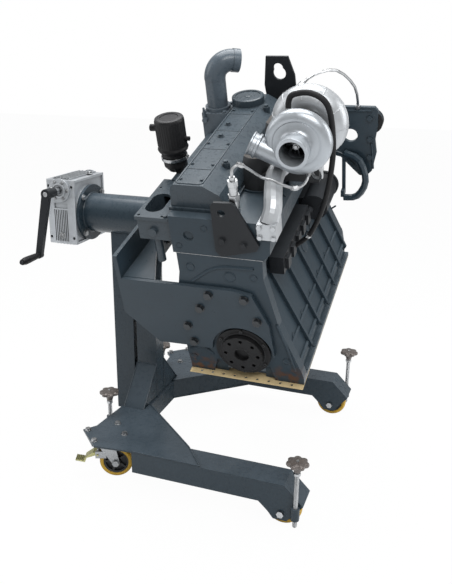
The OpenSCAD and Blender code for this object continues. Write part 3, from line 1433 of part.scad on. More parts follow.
// Rotor: shaft, two bladed wheels and the nut in the compressor inlet
module turbo_rotor() {
    front_y = compressor_y + compressor_t / 2 - compressor_wheel_r * 0.4;
    back_y = turbine_y + turbine_t * 0.3;
    color("#9a9da0") on_engine() translate([turbo_x, 0, turbo_z]) {
        translate([0, front_y - rib_w, 0]) rod_y(2 * turbo_shaft_r, back_y - front_y + rib_w + turbine_t * 0.3);
        translate([0, front_y - rib_w * 0.6, 0]) rotate([-90, 0, 0])
            cylinder(r = turbo_shaft_r * 1.7, h = rib_w * 0.6, $fn = 6);
        translate([0, front_y, 0]) rotate([-90, 0, 0])
            cylinder(r1 = turbo_shaft_r * 2, r2 = compressor_wheel_r * 0.5, h = compressor_wheel_r * 0.7);
        translate([0, front_y + compressor_wheel_r * 0.7, 0]) rod_y(2 * compressor_wheel_r - side_gap, side_gap * 2);
        for (i = [0 : 5]) rotate([0, i * 60, 0])
            translate([0, front_y + side_gap, -side_gap / 2])
                cube([compressor_wheel_r * 0.74, compressor_wheel_r * 0.7, side_gap]);
        translate([0, back_y, 0]) rod_y(2 * turbine_wheel_r - 2 * side_gap, side_gap * 2);
        for (i = [0 : 5]) rotate([0, 20 + i * 60, 0])
            translate([0, back_y + side_gap, -side_gap / 2])
                cube([turbine_wheel_r * 0.9, turbine_t * 0.25, side_gap]);
    }
}

module oil_lines() {
    color("#c9cccd") on_engine() {
        tube_along(feed_route, line_d, 8, 3);
        tube_along(drain_route, line_d, 8, 3);
        tube_along(vent_route, line_d, 8, 3);
        translate([feed_route[0][0], feed_route[0][1], head_top]) {
            cylinder(d = line_d * 3.4, h = line_d * 7);
            translate([0, 0, line_d * 7]) cylinder(d = line_d * 4, h = line_d * 2, $fn = 6);
            translate([0, 0, line_d * 9]) cylinder(d = line_d * 3, h = line_d * 4);
            translate([0, 0, line_d * 12]) cylinder(d = line_d * 3.6, h = line_d * 2, $fn = 6);
            cylinder(d = line_d * 2, h = feed_route[0][2] - head_top);
        }
    }
}

module turbo_hose() {
    color("#1c1e20") on_engine() tube_along(hose_route, hose_d, 8, 3);
}

// Front end: timing case, damper, oil cooler and the accessory plate with its pulley

module timing_case() {
    nose = 2 * (crank_nose_r + run_gap);
    color("#46515c") on_engine() translate([0, block_len, 0]) difference() {
        slab_y(case_t) polygon(case_outline);
        translate([0, -over, 0]) rod_y(gear_teeth * gear_module + 2 * rib_w, case_t - case_wall + over);
        translate([cam_x, -over, cam_z]) rod_y(cam_ratio * gear_teeth * gear_module + 2 * case_wall, case_t - case_wall + over);
        translate([0, -over, 0]) rod_y(nose, case_t + 2 * over);
        for (p = case_outline) translate([p[0] * 0.93, case_t - rib_w, 76 + (p[1] - 76) * 0.93]) rod_y(rail_bolt_d, rib_w + over);
    }
}

module oil_cooler() {
    cooler_t = 4 * rib_w;
    seat_x = flank_x + rib_w;
    color("#202326") on_engine() {
        translate([seat_x, cooler_y, cooler_z]) cube([cooler_t, cooler_len, cooler_h]);
        for (i = [0 : cooler_ribs - 1])
            translate([seat_x + cooler_t, cooler_y + (i + 0.25) * cooler_len / cooler_ribs, cooler_z + rib_w])
                cube([rib_w, cooler_len / cooler_ribs / 2, cooler_h - 2 * rib_w]);
        translate([seat_x + cooler_t, cooler_y + cooler_len, cooler_z + cooler_h / 2])
            rod_y(2 * rib_w, rib_w * 2);
        translate([seat_x, filter_y, cooler_z + cooler_h / 2 - canister_d * 0.3])
            cube([canister_d * 0.4, filter_len, canister_d * 0.6]);
        translate([seat_x + canister_d * 0.6, filter_y - rib_w, cooler_z + cooler_h / 2]) rod_y(canister_d, filter_len + 2 * rib_w);
        translate([seat_x + canister_d * 0.6, filter_y + filter_len + rib_w, cooler_z + cooler_h / 2]) rod_y(canister_d * 1.1, rib_w);
    }
}

module accessory_bracket() {
    arm_x = head_outline[3][0] - seat_gap;
    color("#5d6871") on_engine() {
        translate([0, front_plate_y, 0]) slab_y(bracket_t) difference() {
            polygon(front_plate);
            translate([pulley_x - pulley_r * 1.6, pulley_z - pulley_r]) circle(r = pulley_r * 0.6);
        }
        translate([arm_x, front_plate_y - rib_w * 4, 410])
            cube([rib_w * 3, rib_w * 4, rib_w * 5]);
        for (p = front_plate_bolts) translate([p[0], front_plate_y, p[1]]) rotate([90, 0, 0]) bolt_head(bolt_d);
        translate([pulley_x, front_plate_y + bracket_t, pulley_z]) {
            rod_y(pulley_r * 0.6, rib_w);
            translate([0, rib_w, 0]) rod_y(2 * pulley_r, rib_w * 2);
        }
        tube_along(loop_route, loop_d, 8, 3);
        translate([loop_route[0][0] - rib_w, front_plate_y, loop_route[4][2]]) cube([rib_w, rib_w, 170]);
        translate([loop_route[0][0] - rib_w, front_plate_y - loop_d, loop_route[4][2]]) cube([rib_w, loop_d + rib_w, loop_d]);
    }
}

// Crank train

module crank_web(turn) {
    rotate([0, turn, 0]) slab_y(web_t) {
        circle(r = web_r);
        translate([0, throw]) circle(r = web_pin_r);
        polygon([[-web_pin_r, throw], [web_pin_r, throw], [web_r, 0], [-web_r, 0]]);
        intersection() {
            circle(r = weight_r);
            polygon([[-web_r, 0], [web_r, 0], [weight_r, -weight_r], [-weight_r, -weight_r]]);
        }
    }
}

module crankshaft() {
    last_main = first_cyl + (n_cyl - 0.5) * cyl_pitch;
    color("#767a7d") on_engine() difference() {
        union() {
            for (i = [0 : n_cyl])
                translate([0, first_cyl + (i - 0.5) * cyl_pitch - main_t / 2 - side_gap, 0])
                    rod_y(2 * main_r, main_t + 2 * side_gap);
            for (i = [0 : n_cyl - 1]) translate([0, first_cyl + i * cyl_pitch, 0]) {
                for (y = [-pin_len / 2 - web_t, pin_len / 2]) translate([0, y, 0]) crank_web(firing_turns[i]);
                rotate([0, firing_turns[i], 0]) translate([0, -pin_len / 2 - over, throw])
                    rod_y(2 * pin_r, pin_len + 2 * over);
            }
            translate([0, -seal_t - over, 0]) rod_y(2 * crank_neck_r, seal_t + over + rear_wall_t - main_t - side_gap);
            translate([0, -seal_t - side_gap - crank_flange_t, 0]) rod_y(2 * crank_flange_r, crank_flange_t);
            translate([0, -seal_t - side_gap - over, 0]) rod_y(2 * crank_neck_r, side_gap + 2 * over);
            translate([0, rear_wall_t - main_t - side_gap - over, 0]) rod_y(2 * main_r, side_gap + 2 * over);
            translate([0, last_main, 0]) rod_y(2 * crank_nose_r, damper_y + damper_t - last_main);
            translate([0, block_len + rib_w / 2, 0]) slab_y(gear_w)
                rotate(mesh_angle) polygon(gear_outline(gear_teeth, gear_module));
        }
        translate([0, -seal_t - side_gap - crank_flange_t - over, 0]) {
            rod_y(pilot_d, crank_flange_t);
            for (i = [0 : flange_holes - 1]) rotate([0, i * 360 / flange_holes, 0])
                translate([flange_hole_pcd / 2, 0, 0]) rod_y(flange_hole_d, crank_flange_t);
        }
    }
}

module crank_damper() {
    color("#2a2c2e") on_engine() translate([0, damper_y, 0]) {
        difference() {
            rotate([-90, 0, 0]) rotate_extrude($fn = 96) polygon([
                [crank_nose_r + run_gap, 0], [crank_nose_r * 1.6, 0], [crank_nose_r * 1.6, damper_t * 0.3],
                [damper_d * 0.37, damper_t * 0.3], [damper_d * 0.37, 0], [damper_d / 2, 0],
                [damper_d / 2, damper_t * 0.35], [damper_d * 0.47, damper_t * 0.45], [damper_d * 0.47, damper_t * 0.55],
                [damper_d / 2, damper_t * 0.65], [damper_d / 2, damper_t], [damper_d * 0.37, damper_t],
                [damper_d * 0.37, damper_t * 0.6], [crank_nose_r * 1.6, damper_t * 0.6],
                [crank_nose_r * 1.6, damper_t], [crank_nose_r + run_gap, damper_t]
            ]);
        }
        translate([0, damper_t, 0]) rod_y(crank_nose_r * 2.4, rib_w / 2);
        translate([0, damper_t + rib_w / 2, 0]) rotate([-90, 0, 0]) bolt_head(2 * rear_bolt_r);
    }
}

module camshaft() {
    start = rear_wall_t - main_t + side_gap;
    color("#85898c") on_engine() translate([cam_x, 0, cam_z]) {
        translate([0, start, 0]) rod_y(cam_r * 1.3, block_len - start + rib_w);
        for (i = [0 : n_cyl])
            translate([0, first_cyl + (i - 0.5) * cyl_pitch - main_t / 2 + side_gap, 0]) rod_y(2 * cam_r, main_t - side_gap);
        for (i = [0 : n_cyl - 1], k = [-1, 1])
            rotate([0, -firing_turns[i] / 2 + k * 55, 0])
                translate([0, first_cyl + i * cyl_pitch + k * cyl_pitch * 0.2 - web_t / 4, cam_r * 0.2])
                    rod_y(cam_r * 1.54, web_t / 2);
        translate([0, block_len + rib_w / 2, 0]) slab_y(gear_w)
            rotate(mesh_angle + 180 + 180 / (cam_ratio * gear_teeth))
                difference() {
                    polygon(gear_outline(cam_ratio * gear_teeth, gear_module));
                    for (a = [0 : 60 : 300]) rotate(a) translate([gear_teeth * gear_module * 0.6, 0])
                        circle(r = cam_r * 0.7);
                }
    }
}

// Pistons in pairs that move together; each is at its place for the crank's rest turn

module piston_pair(a, b) {
    drop = throw * (1 - cos(firing_turns[a]));
    color("#b9bcbe") on_engine() for (i = [a, b])
        translate([0, first_cyl + i * cyl_pitch, deck_h - piston_drop - drop - piston_h]) difference() {
            cylinder(d = bore_d - 2 * run_gap, h = piston_h);
            translate([0, 0, -over]) cylinder(d = bore_d * 0.84, h = piston_h * 0.84);
            translate([-bore_d / 2 - over, 0, piston_h * pin_axis_share]) rod_x(bore_d * 0.34, bore_d + 2 * over);
            for (z = [0.7, 0.79, 0.88]) translate([0, 0, piston_h * z]) difference() {
                cylinder(d = bore_d + over, h = piston_h * 0.03);
                translate([0, 0, -over]) cylinder(d = bore_d * 0.93, h = piston_h * 0.03 + 2 * over);
            }
            translate([0, 0, piston_h * 0.9]) cylinder(d = bore_d * 0.5, h = piston_h);
        }
}

module pistons_1_6() {
    piston_pair(0, 5);
}

module pistons_2_5() {
    piston_pair(1, 4);
}

module pistons_3_4() {
    piston_pair(2, 3);
}

near_leg();
far_leg();
cross_beam();
column();
bearing_tube();
shaft_bearings();
caster_plates();
stand_bolts();
gearbox_housing();
gearbox_covers();
worm_shaft();
crank_arm();
crank_grip();
turning_shaft();
worm_wheel();
engine_bracket();
engine_bolts();
cylinder_block();
bearing_caps();
rear_seal_carrier();
pan_gasket();
cylinder_head();
rocker_cover();
intake_manifold();
breather_canister();
coolant_elbow();
lifting_eyes();
exhaust_manifold();
exhaust_branch();
turbine_housing();
turbo_centre();
compressor_housing();
oil_lines();
turbo_hose();
timing_case();
oil_cooler();
accessory_bracket();
crankshaft();
crank_damper();
camshaft();
turbo_rotor();
pistons_1_6();
pistons_2_5();
pistons_3_4();
near_caster_fork();
far_caster_fork();
near_brake_pedal();
far_brake_pedal();
near_left_wheel();
far_left_wheel();
near_right_wheel();
far_right_wheel();
near_left_screw();
far_left_screw();
near_right_screw();
far_right_screw();
near_left_knob();
far_left_knob();
near_right_knob();
far_right_knob();
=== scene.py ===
"""Looks of a turbo diesel engine on a roll-over stand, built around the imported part."""

import json
import math
import random

import bmesh
import bpy
from mathutils import Matrix, Vector


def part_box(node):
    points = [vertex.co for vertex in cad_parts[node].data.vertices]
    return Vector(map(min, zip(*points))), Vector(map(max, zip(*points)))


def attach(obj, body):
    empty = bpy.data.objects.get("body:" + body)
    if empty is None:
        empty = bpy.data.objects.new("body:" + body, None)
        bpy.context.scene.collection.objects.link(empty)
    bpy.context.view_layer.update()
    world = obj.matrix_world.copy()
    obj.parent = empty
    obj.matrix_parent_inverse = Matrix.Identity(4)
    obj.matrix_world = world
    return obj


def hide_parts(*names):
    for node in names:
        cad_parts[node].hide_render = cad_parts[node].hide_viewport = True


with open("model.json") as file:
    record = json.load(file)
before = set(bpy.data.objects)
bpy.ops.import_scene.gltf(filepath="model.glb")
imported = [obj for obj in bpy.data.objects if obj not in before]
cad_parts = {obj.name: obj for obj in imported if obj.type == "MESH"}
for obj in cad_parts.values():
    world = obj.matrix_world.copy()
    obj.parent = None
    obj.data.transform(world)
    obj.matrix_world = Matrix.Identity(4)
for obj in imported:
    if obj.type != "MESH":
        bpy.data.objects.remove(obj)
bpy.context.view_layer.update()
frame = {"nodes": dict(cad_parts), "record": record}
RANDOM = random.Random(7)
TAU = 2 * math.pi
MM = 0.001

# The engine's own frame: x from the cylinder plane, y from the block's rear face, z from the crankshaft
ORIGIN = Vector((-25, -37, 0)) * MM
CYLINDER_PLANE = 296 * MM
REAR_REACH = 400 * MM
CRANK_DROP = 236 * MM
AXIS_HEIGHT = 912 * MM
TILT = math.radians(19)
ENGINE = (
    Matrix.Translation(ORIGIN + Vector((0, 0, AXIS_HEIGHT)))
    @ Matrix.Rotation(TILT, 4, "X")
    @ Matrix.Translation((CYLINDER_PLANE, -REAR_REACH, -CRANK_DROP))
)


def on_engine(x, y, z):
    """A place in the engine's own frame, given in millimetres."""
    return ENGINE @ (Vector((x, y, z)) * MM)


def in_stand(x, y, z):
    """A place in the stand's frame, given in millimetres."""
    return ORIGIN + Vector((x, y, z)) * MM


# Camera, from a fit of known points of the object to the photograph
PHOTO_SIZE = (452, 584)
FOCAL_PIXELS = 690.4
AXIS_PIXEL = (215.3, 288.9)
CAMERA_PLACE = (942.6, -2337.9, 1489.8)
CAMERA_RIGHT = Vector((0.93771, 0.34737, 0.00554))
CAMERA_DOWN = Vector((0.11531, -0.29614, -0.94816))


def make_camera():
    data = bpy.data.cameras.new("camera")
    camera = bpy.data.objects.new("camera", data)
    bpy.context.scene.collection.objects.link(camera)
    data.sensor_width = 36
    data.lens = FOCAL_PIXELS / PHOTO_SIZE[1] * data.sensor_width
    data.shift_x = (PHOTO_SIZE[0] / 2 - AXIS_PIXEL[0]) / PHOTO_SIZE[1]
    data.shift_y = (AXIS_PIXEL[1] - PHOTO_SIZE[1] / 2) / PHOTO_SIZE[1]
    back = CAMERA_RIGHT.cross(-CAMERA_DOWN).normalized()
    up = back.cross(CAMERA_RIGHT).normalized()
    turn = Matrix((CAMERA_RIGHT, up, back)).transposed().to_4x4()
    camera.matrix_world = Matrix.Translation(in_stand(*CAMERA_PLACE)) @ turn
    bpy.context.scene.camera = camera


make_camera()


# Materials


def fill(node, values):
    """Sets a node's inputs by their names."""
    for name, value in values.items():
        node.inputs[name].default_value = value


class Shader:
    """A node material, with short calls for the nodes that every surface here uses."""

    def __init__(self, name):
        self.material = bpy.data.materials.new(name)
        self.material.use_nodes = True
        self.tree = self.material.node_tree
        self.bsdf = self.tree.nodes["Principled BSDF"]
        self.place = self.add("ShaderNodeTexCoord").outputs["Object"]

    def add(self, kind, **values):
        node = self.tree.nodes.new(kind)
        for key, value in values.items():
            setattr(node, key, value)
        return node

    def link(self, a, b):
        self.tree.links.new(a, b)

    def noise(self, scale, detail=3, rough=0.55, stretch=None):
        node = self.add("ShaderNodeTexNoise")
        fill(node, {"Scale": scale, "Detail": detail, "Roughness": rough})
        place = self.place
        if stretch:
            mapping = self.add("ShaderNodeMapping")
            mapping.inputs["Scale"].default_value = stretch
            self.link(place, mapping.inputs["Vector"])
            place = mapping.outputs["Vector"]
        self.link(place, node.inputs["Vector"])
        return node.outputs["Fac"]

    def ranged(self, value, low, high, to_low=0.0, to_high=1.0):
        node = self.add("ShaderNodeMapRange")
        fill(node, {"From Min": low, "From Max": high, "To Min": to_low, "To Max": to_high})
        self.link(value, node.inputs["Value"])
        return node.outputs["Result"]

    def math(self, operation, a, b):
        node = self.add("ShaderNodeMath", operation=operation)
        for socket, value in zip(node.inputs, (a, b)):
            if isinstance(value, (int, float)):
                socket.default_value = value
            else:
                self.link(value, socket)
        return node.outputs["Value"]

    def mix(self, amount, a, b, blend="MIX"):
        node = self.add("ShaderNodeMix", data_type="RGBA", blend_type=blend)
        for socket, value in zip((node.inputs[0], node.inputs[6], node.inputs[7]), (amount, a, b)):
            if isinstance(value, (int, float)):
                socket.default_value = value
            elif isinstance(value, tuple):
                socket.default_value = (*value, 1)
            else:
                self.link(value, socket)
        return node.outputs[2]

    def edges(self, width):
        """The rounded normal, and how near a sharp edge is."""
        bevel = self.add("ShaderNodeBevel", samples=4)
        bevel.inputs["Radius"].default_value = width
        normal = self.add("ShaderNodeNewGeometry").outputs["Normal"]
        dot = self.add("ShaderNodeVectorMath", operation="DOT_PRODUCT")
        self.link(bevel.outputs["Normal"], dot.inputs[0])
        self.link(normal, dot.inputs[1])
        near = self.ranged(dot.outputs["Value"], 0.98, 0.75)
        return bevel.outputs["Normal"], near

    # ambient occlusion, used to paint shade into creases
    def creases(self, reach):
        node = self.add("ShaderNodeAmbientOcclusion", samples=4)
        node.inputs["Distance"].default_value = reach
        return node.outputs["AO"]

    def upward(self):
        split = self.add("ShaderNodeSeparateXYZ")
        self.link(self.add("ShaderNodeNewGeometry").outputs["Normal"], split.inputs["Vector"])
        return split.outputs["Z"]

    def finish(self, colour, rough, normal=None):
        self.link(colour, self.bsdf.inputs["Base Color"])
        self.link(rough, self.bsdf.inputs["Roughness"])
        if normal is not None:
            self.link(normal, self.bsdf.inputs["Normal"])
        return self.material

    def bump(self, height, distance, strength=1.0, under=None):
        node = self.add("ShaderNodeBump")
        fill(node, {"Strength": strength, "Distance": distance})
        self.link(height, node.inputs["Height"])
        if under is not None:
            self.link(under, node.inputs["Normal"])
        return node.outputs["Normal"]


def shade(colour, factor):
    return tuple(min(1.0, c * factor) for c in colour)


def surface(
    name, colour, rough=0.45, metallic=0.0, spread=0.12, grain=220, depth=0.1, edge=0.0012,
    edge_wear_and_highlight=None, edge_wear_and_highlight_share=0.0, top_dust_and_light=None, top_dust_and_light_share=0.0, crease_shade=0.35, coat=0.0, streak=None, rusty=(),
):
    """A finish with mottling, grain, worn edges with a painted edge highlight, dust with painted top light
    on upward faces, and painted shade in its creases.
    """
    s = Shader(name)
    patches = s.noise(5, 4)
    specks = s.noise(60, 4, 0.65, streak)
    tone = s.math("ADD", s.math("MULTIPLY", patches, 0.6), s.math("MULTIPLY", specks, 0.4))
    base = s.mix(s.ranged(tone, 0.3, 0.7), shade(colour, 1 - spread), shade(colour, 1 + spread))
    normal, near = s.edges(edge)
    # worn edges and a painted edge highlight: sharp edges lightened toward the worn colour in chipped
    # patches
    if edge_wear_and_highlight:
        chips = s.ranged(s.noise(90, 5, 0.7), 0.5, 0.62)
        base = s.mix(s.math("MULTIPLY", s.math("MULTIPLY", near, chips), edge_wear_and_highlight_share), base, edge_wear_and_highlight)
    # dust and painted top light: upward faces lightened toward the dust colour in cloudy patches
    if top_dust_and_light:
        top = s.ranged(s.upward(), 0.35, 0.95)
        cloud = s.ranged(s.noise(14, 5, 0.6), 0.3, 0.8, 0.5, 1.0)
        base = s.mix(s.math("MULTIPLY", s.math("MULTIPLY", top, cloud), top_dust_and_light_share), base, top_dust_and_light)
    # painted shade: colour darkened where ambient occlusion finds creases and corners
    dark = s.ranged(s.creases(0.03), 0.2, 0.95, 1 - crease_shade, 1.0)
    base = s.mix(1.0, base, dark, "MULTIPLY")
    for place in rusty:
        distance = s.add("ShaderNodeVectorMath", operation="DISTANCE")
        s.link(s.place, distance.inputs[0])
        distance.inputs[1].default_value = place
        near = s.ranged(distance.outputs["Value"], RUST_REACH, RUST_REACH * 0.3)
        flecks = s.ranged(s.noise(45, 6, 0.5), 0.42, 0.56)
        base = s.mix(s.math("MULTIPLY", near, flecks), base, RUST)
    uneven = s.ranged(specks, 0.3, 0.7, max(0.05, rough - 0.09), min(1.0, rough + 0.09))
    shine = 0.5 if metallic else 0.22
    fill(s.bsdf, {"Metallic": metallic, "Specular IOR Level": shine})
    fill(s.bsdf, {"Coat Weight": coat, "Coat Roughness": 0.2})
    relief = s.bump(s.noise(grain, 3, 0.6, streak), depth * MM, 0.6, normal)
    return s.finish(base, uneven, relief)


SLATE = (0.024, 0.039, 0.052)
# dust colour that also paints top light on upward faces
SLATE_DUST_AND_LIGHT = (0.12, 0.15, 0.175)
# primer colour that also paints highlights on worn edges
PRIMER_AND_HIGHLIGHT = (0.16, 0.17, 0.18)
STEEL = (0.52, 0.53, 0.54)
SILVER = (0.43, 0.46, 0.49)
RUST = (0.075, 0.036, 0.02)
RUST_REACH = 75 * MM
FEET = [on_engine(-160, 0, -105), on_engine(150, 0, -105)]
# Finishes here carry painted shade in their creases; those with dust or worn edges also paint top light on
# upward faces and highlights on edges
LOOKS = {
    "engine_paint": surface(
        "engine_paint", SLATE, 0.36, spread=0.14, grain=160, depth=0.18, edge_wear_and_highlight=PRIMER_AND_HIGHLIGHT, edge_wear_and_highlight_share=0.5,
        top_dust_and_light=SLATE_DUST_AND_LIGHT, top_dust_and_light_share=0.4, coat=0.25,
    ),
    "block_iron": surface(
        "block_paint", SLATE, 0.42, spread=0.16, grain=120, depth=0.35, edge=0.0025, edge_wear_and_highlight=PRIMER_AND_HIGHLIGHT, edge_wear_and_highlight_share=0.5,
        top_dust_and_light=SLATE_DUST_AND_LIGHT, top_dust_and_light_share=0.5, coat=0.15, rusty=FEET,
    ),
    "stand_paint": surface(
        "stand_paint", (0.022, 0.036, 0.048), 0.3, spread=0.1, grain=300, depth=0.1, edge=0.002,
        edge_wear_and_highlight=(0.2, 0.23, 0.25), edge_wear_and_highlight_share=0.3, top_dust_and_light=(0.12, 0.15, 0.18), top_dust_and_light_share=0.62, coat=0.3,
    ),
    "black_paint": surface(
        "black_paint", (0.018, 0.02, 0.023), 0.42, spread=0.2, edge_wear_and_highlight=(0.12, 0.12, 0.12), edge_wear_and_highlight_share=0.6,
        top_dust_and_light=(0.1, 0.11, 0.12), top_dust_and_light_share=0.35,
    ),
    "dark_iron": surface(
        "dark_iron", (0.035, 0.037, 0.04), 0.62, 0.35, spread=0.3, grain=110, depth=0.4,
        edge_wear_and_highlight=(0.2, 0.2, 0.2), edge_wear_and_highlight_share=0.5, top_dust_and_light=(0.11, 0.09, 0.07), top_dust_and_light_share=0.4,
    ),
    "gearbox_cast": surface(
        "gearbox_cast", (0.6, 0.63, 0.66), 0.4, 0.6, spread=0.16, grain=150, depth=0.3,
        edge_wear_and_highlight=(0.8, 0.81, 0.82), edge_wear_and_highlight_share=0.8, crease_shade=0.65,
    ),
    "silver_cast": surface(
        "silver_cast", SILVER, 0.36, 0.62, spread=0.1, grain=170, depth=0.35, edge_wear_and_highlight=(0.85, 0.86, 0.87),
        edge_wear_and_highlight_share=0.6, crease_shade=0.55,
    ),
    "painted_bolts": surface(
        "painted_bolts", (0.022, 0.026, 0.03), 0.34, 0.3, spread=0.3, grain=300, edge_wear_and_highlight=STEEL, edge_wear_and_highlight_share=0.35,
        coat=0.3,
    ),
    "piston_alloy": surface("piston_alloy", (0.55, 0.56, 0.57), 0.3, 1.0, grain=400, streak=(1, 1, 12)),
    "machined_steel": surface(
        "machined_steel", (0.40, 0.41, 0.42), 0.3, 1.0, spread=0.2, grain=500, streak=(1, 14, 1), crease_shade=0.5,
    ),
    "zinc_bolts": surface("zinc_bolts", STEEL, 0.32, 1.0, spread=0.2, grain=420, depth=0.1, crease_shade=0.55),
    "zinc_yellow": surface(
        "zinc_yellow", (0.50, 0.49, 0.24), 0.3, 0.9, spread=0.3, grain=260, edge_wear_and_highlight=(0.7, 0.7, 0.62), edge_wear_and_highlight_share=0.7,
    ),
    "bronze": surface("bronze", (0.55, 0.36, 0.15), 0.35, 1.0, spread=0.2),
    "gasket_fibre": surface("gasket_fibre", (0.60, 0.47, 0.26), 0.85, spread=0.16, grain=600, depth=0.2),
    "black_plastic": surface(
        "black_plastic", (0.014, 0.014, 0.015), 0.38, spread=0.25, grain=380, depth=0.12,
        top_dust_and_light=(0.09, 0.09, 0.1), top_dust_and_light_share=0.3,
    ),
    "knob_plastic": surface(
        "knob_plastic", (0.15, 0.13, 0.12), 0.34, 0.35, spread=0.25, grain=300, edge_wear_and_highlight=(0.45, 0.4, 0.35),
        edge_wear_and_highlight_share=0.7, coat=0.3,
    ),
    "wheel_tread": surface(
        "wheel_tread", (0.58, 0.36, 0.05), 0.42, spread=0.16, grain=240, top_dust_and_light=(0.5, 0.42, 0.25), top_dust_and_light_share=0.3,
    ),
    "hose_rubber": surface(
        "hose_rubber", (0.013, 0.013, 0.014), 0.55, spread=0.3, grain=500, depth=0.12,
        top_dust_and_light=(0.07, 0.07, 0.08), top_dust_and_light_share=0.4,
    ),
}
CORE_IRON = surface("wheel_core", (0.05, 0.05, 0.052), 0.5, 0.5, spread=0.25, grain=140, depth=0.3)
PAINTED_CAST = surface(
    "painted_cast", (0.036, 0.050, 0.062), 0.3, spread=0.14, grain=130, depth=0.28, edge_wear_and_highlight=PRIMER_AND_HIGHLIGHT,
    edge_wear_and_highlight_share=0.35, top_dust_and_light=SLATE_DUST_AND_LIGHT, top_dust_and_light_share=0.4, coat=0.3,
)
# A lighter copy of the cast paint for the elbow, which wears the same paint: painted light
ELBOW_LIT_PAINT = surface(
    "elbow_lit_paint", (0.085, 0.108, 0.13), 0.3, spread=0.16, grain=140, depth=0.3, edge_wear_and_highlight=PRIMER_AND_HIGHLIGHT,
    edge_wear_and_highlight_share=0.35, top_dust_and_light=(0.2, 0.23, 0.26), top_dust_and_light_share=0.4, coat=0.3,
)
BURNT_SILVER = surface(
    "burnt_silver", (0.50, 0.52, 0.54), 0.38, 0.5, spread=0.08, grain=150, depth=0.45,
    edge_wear_and_highlight=(0.9, 0.9, 0.9), edge_wear_and_highlight_share=0.5, crease_shade=0.5,
)
FLYWHEEL_BLACK = surface(
    "flange_black", (0.012, 0.012, 0.013), 0.5, 0.4, spread=0.4, grain=260, edge_wear_and_highlight=(0.2, 0.19, 0.18), edge_wear_and_highlight_share=0.7
)

# Some painted castings are aluminium in the record, so their look is set by node
NODE_LOOKS = {
    "intake_manifold": PAINTED_CAST,
    # the elbow's lighter paint is painted light
    "coolant_elbow": ELBOW_LIT_PAINT,
    "timing_case": PAINTED_CAST,
    "rocker_cover": PAINTED_CAST,
    "engine_bolts": LOOKS["painted_bolts"],
    "rear_seal_carrier": FLYWHEEL_BLACK,
    "crankshaft": FLYWHEEL_BLACK,
    "turbine_housing": BURNT_SILVER,
    "exhaust_branch": BURNT_SILVER,
}
SLOT_OF = {part["node"]: part["material_slot"] for part in frame["record"]["subparts"]}
for node_name, node_object in frame["nodes"].items():
    look = NODE_LOOKS.get(node_name, LOOKS[SLOT_OF[node_name]])
    node_object.data.materials.clear()
    node_object.data.materials.append(look)


# Mesh helpers


def mm(*pairs):
    """An outline given in millimetres."""
    return [(a * MM, b * MM) for a, b in pairs]


def body_of_node(node):
    bodies = frame["record"]["behaviour"]["bodies"]
    return next(body for body, nodes in bodies.items() if node in nodes)


def add_object(name, tool, material, body, smooth=35):
    """Turns a bmesh into a piece that rides on a body."""
    bmesh.ops.recalc_face_normals(tool, faces=tool.faces)
    mesh = bpy.data.meshes.new(name)
    tool.to_mesh(mesh)
    tool.free()
    mesh.materials.append(material)
    piece = bpy.data.objects.new(name, mesh)
    bpy.context.scene.collection.objects.link(piece)
    mesh.shade_smooth()
    mesh.set_sharp_from_angle(angle=math.radians(smooth))
    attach(piece, body)
    return piece


def dress(name, tool, look, smooth=35, body="engine"):
    """A piece whose finish and slot have the same name."""
    return add_object(name, tool, LOOKS[look], body, smooth)


def put(tool, start, place):
    """Moves what a call has added since start to its place."""
    if place is not None:
        tool.verts.ensure_lookup_table()
        bmesh.ops.transform(tool, matrix=place, verts=tool.verts[start:])


def skin(tool, rings, capped=True):
    """Walls between rings of points, one after the other, and lids on both ends."""
    for a, b in zip(rings, rings[1:]):
        for k in range(len(a)):
            j = (k + 1) % len(a)
            tool.faces.new((a[k], a[j], b[j], b[k]))
    if capped:
        tool.faces.new(rings[0][::-1])
        tool.faces.new(rings[-1])


def around(radius, angle):
    """A place on a circle about the origin."""
    return radius * math.cos(angle), radius * math.sin(angle)


def hexagon(radius):
    return [around(radius, TAU * k / 6) for k in range(6)]


def lathe(tool, profile, steps=48, place=None):
    """Spins a closed outline of (radius, height) about Z."""
    rings = []
    start = len(tool.verts)
    for k in range(steps):
        angle = TAU * k / steps
        rings.append([tool.verts.new((*around(r, angle), z)) for r, z in profile])
    count = len(profile)
    for k in range(steps):
        a, b = rings[k], rings[(k + 1) % steps]
        for i in range(count):
            j = (i + 1) % count
            tool.faces.new((a[i], b[i], b[j], a[j]))
    tool.verts.ensure_lookup_table()
    bmesh.ops.remove_doubles(tool, verts=tool.verts[start:], dist=1e-7)
    put(tool, start, place)


def solid_lathe(tool, profile, steps=48, place=None):
    """Spins an outline that starts and ends on the axis."""
    start = len(tool.verts)
    tops = {}
    rings = []
    for k in range(steps):
        angle = TAU * k / steps
        ring = []
        for i, (r, z) in enumerate(profile):
            if r == 0:
                if i not in tops:
                    tops[i] = tool.verts.new((0, 0, z))
                ring.append(tops[i])
            else:
                ring.append(tool.verts.new((*around(r, angle), z)))
        rings.append(ring)
    for k in range(steps):
        a, b = rings[k], rings[(k + 1) % steps]
        for i in range(len(profile) - 1):
            corner = []
            for v in (a[i], b[i], b[i + 1], a[i + 1]):
                if v not in corner:
                    corner.append(v)
            if len(corner) > 2:
                tool.faces.new(corner)
    put(tool, start, place)


def prism(tool, outline, low, high, place=None):
    """A straight-sided block on a closed outline of (x, y)."""
    start = len(tool.verts)
    bottom = [tool.verts.new((x, y, low)) for x, y in outline]
    top = [tool.verts.new((x, y, high)) for x, y in outline]
    skin(tool, [bottom, top])
    put(tool, start, place)


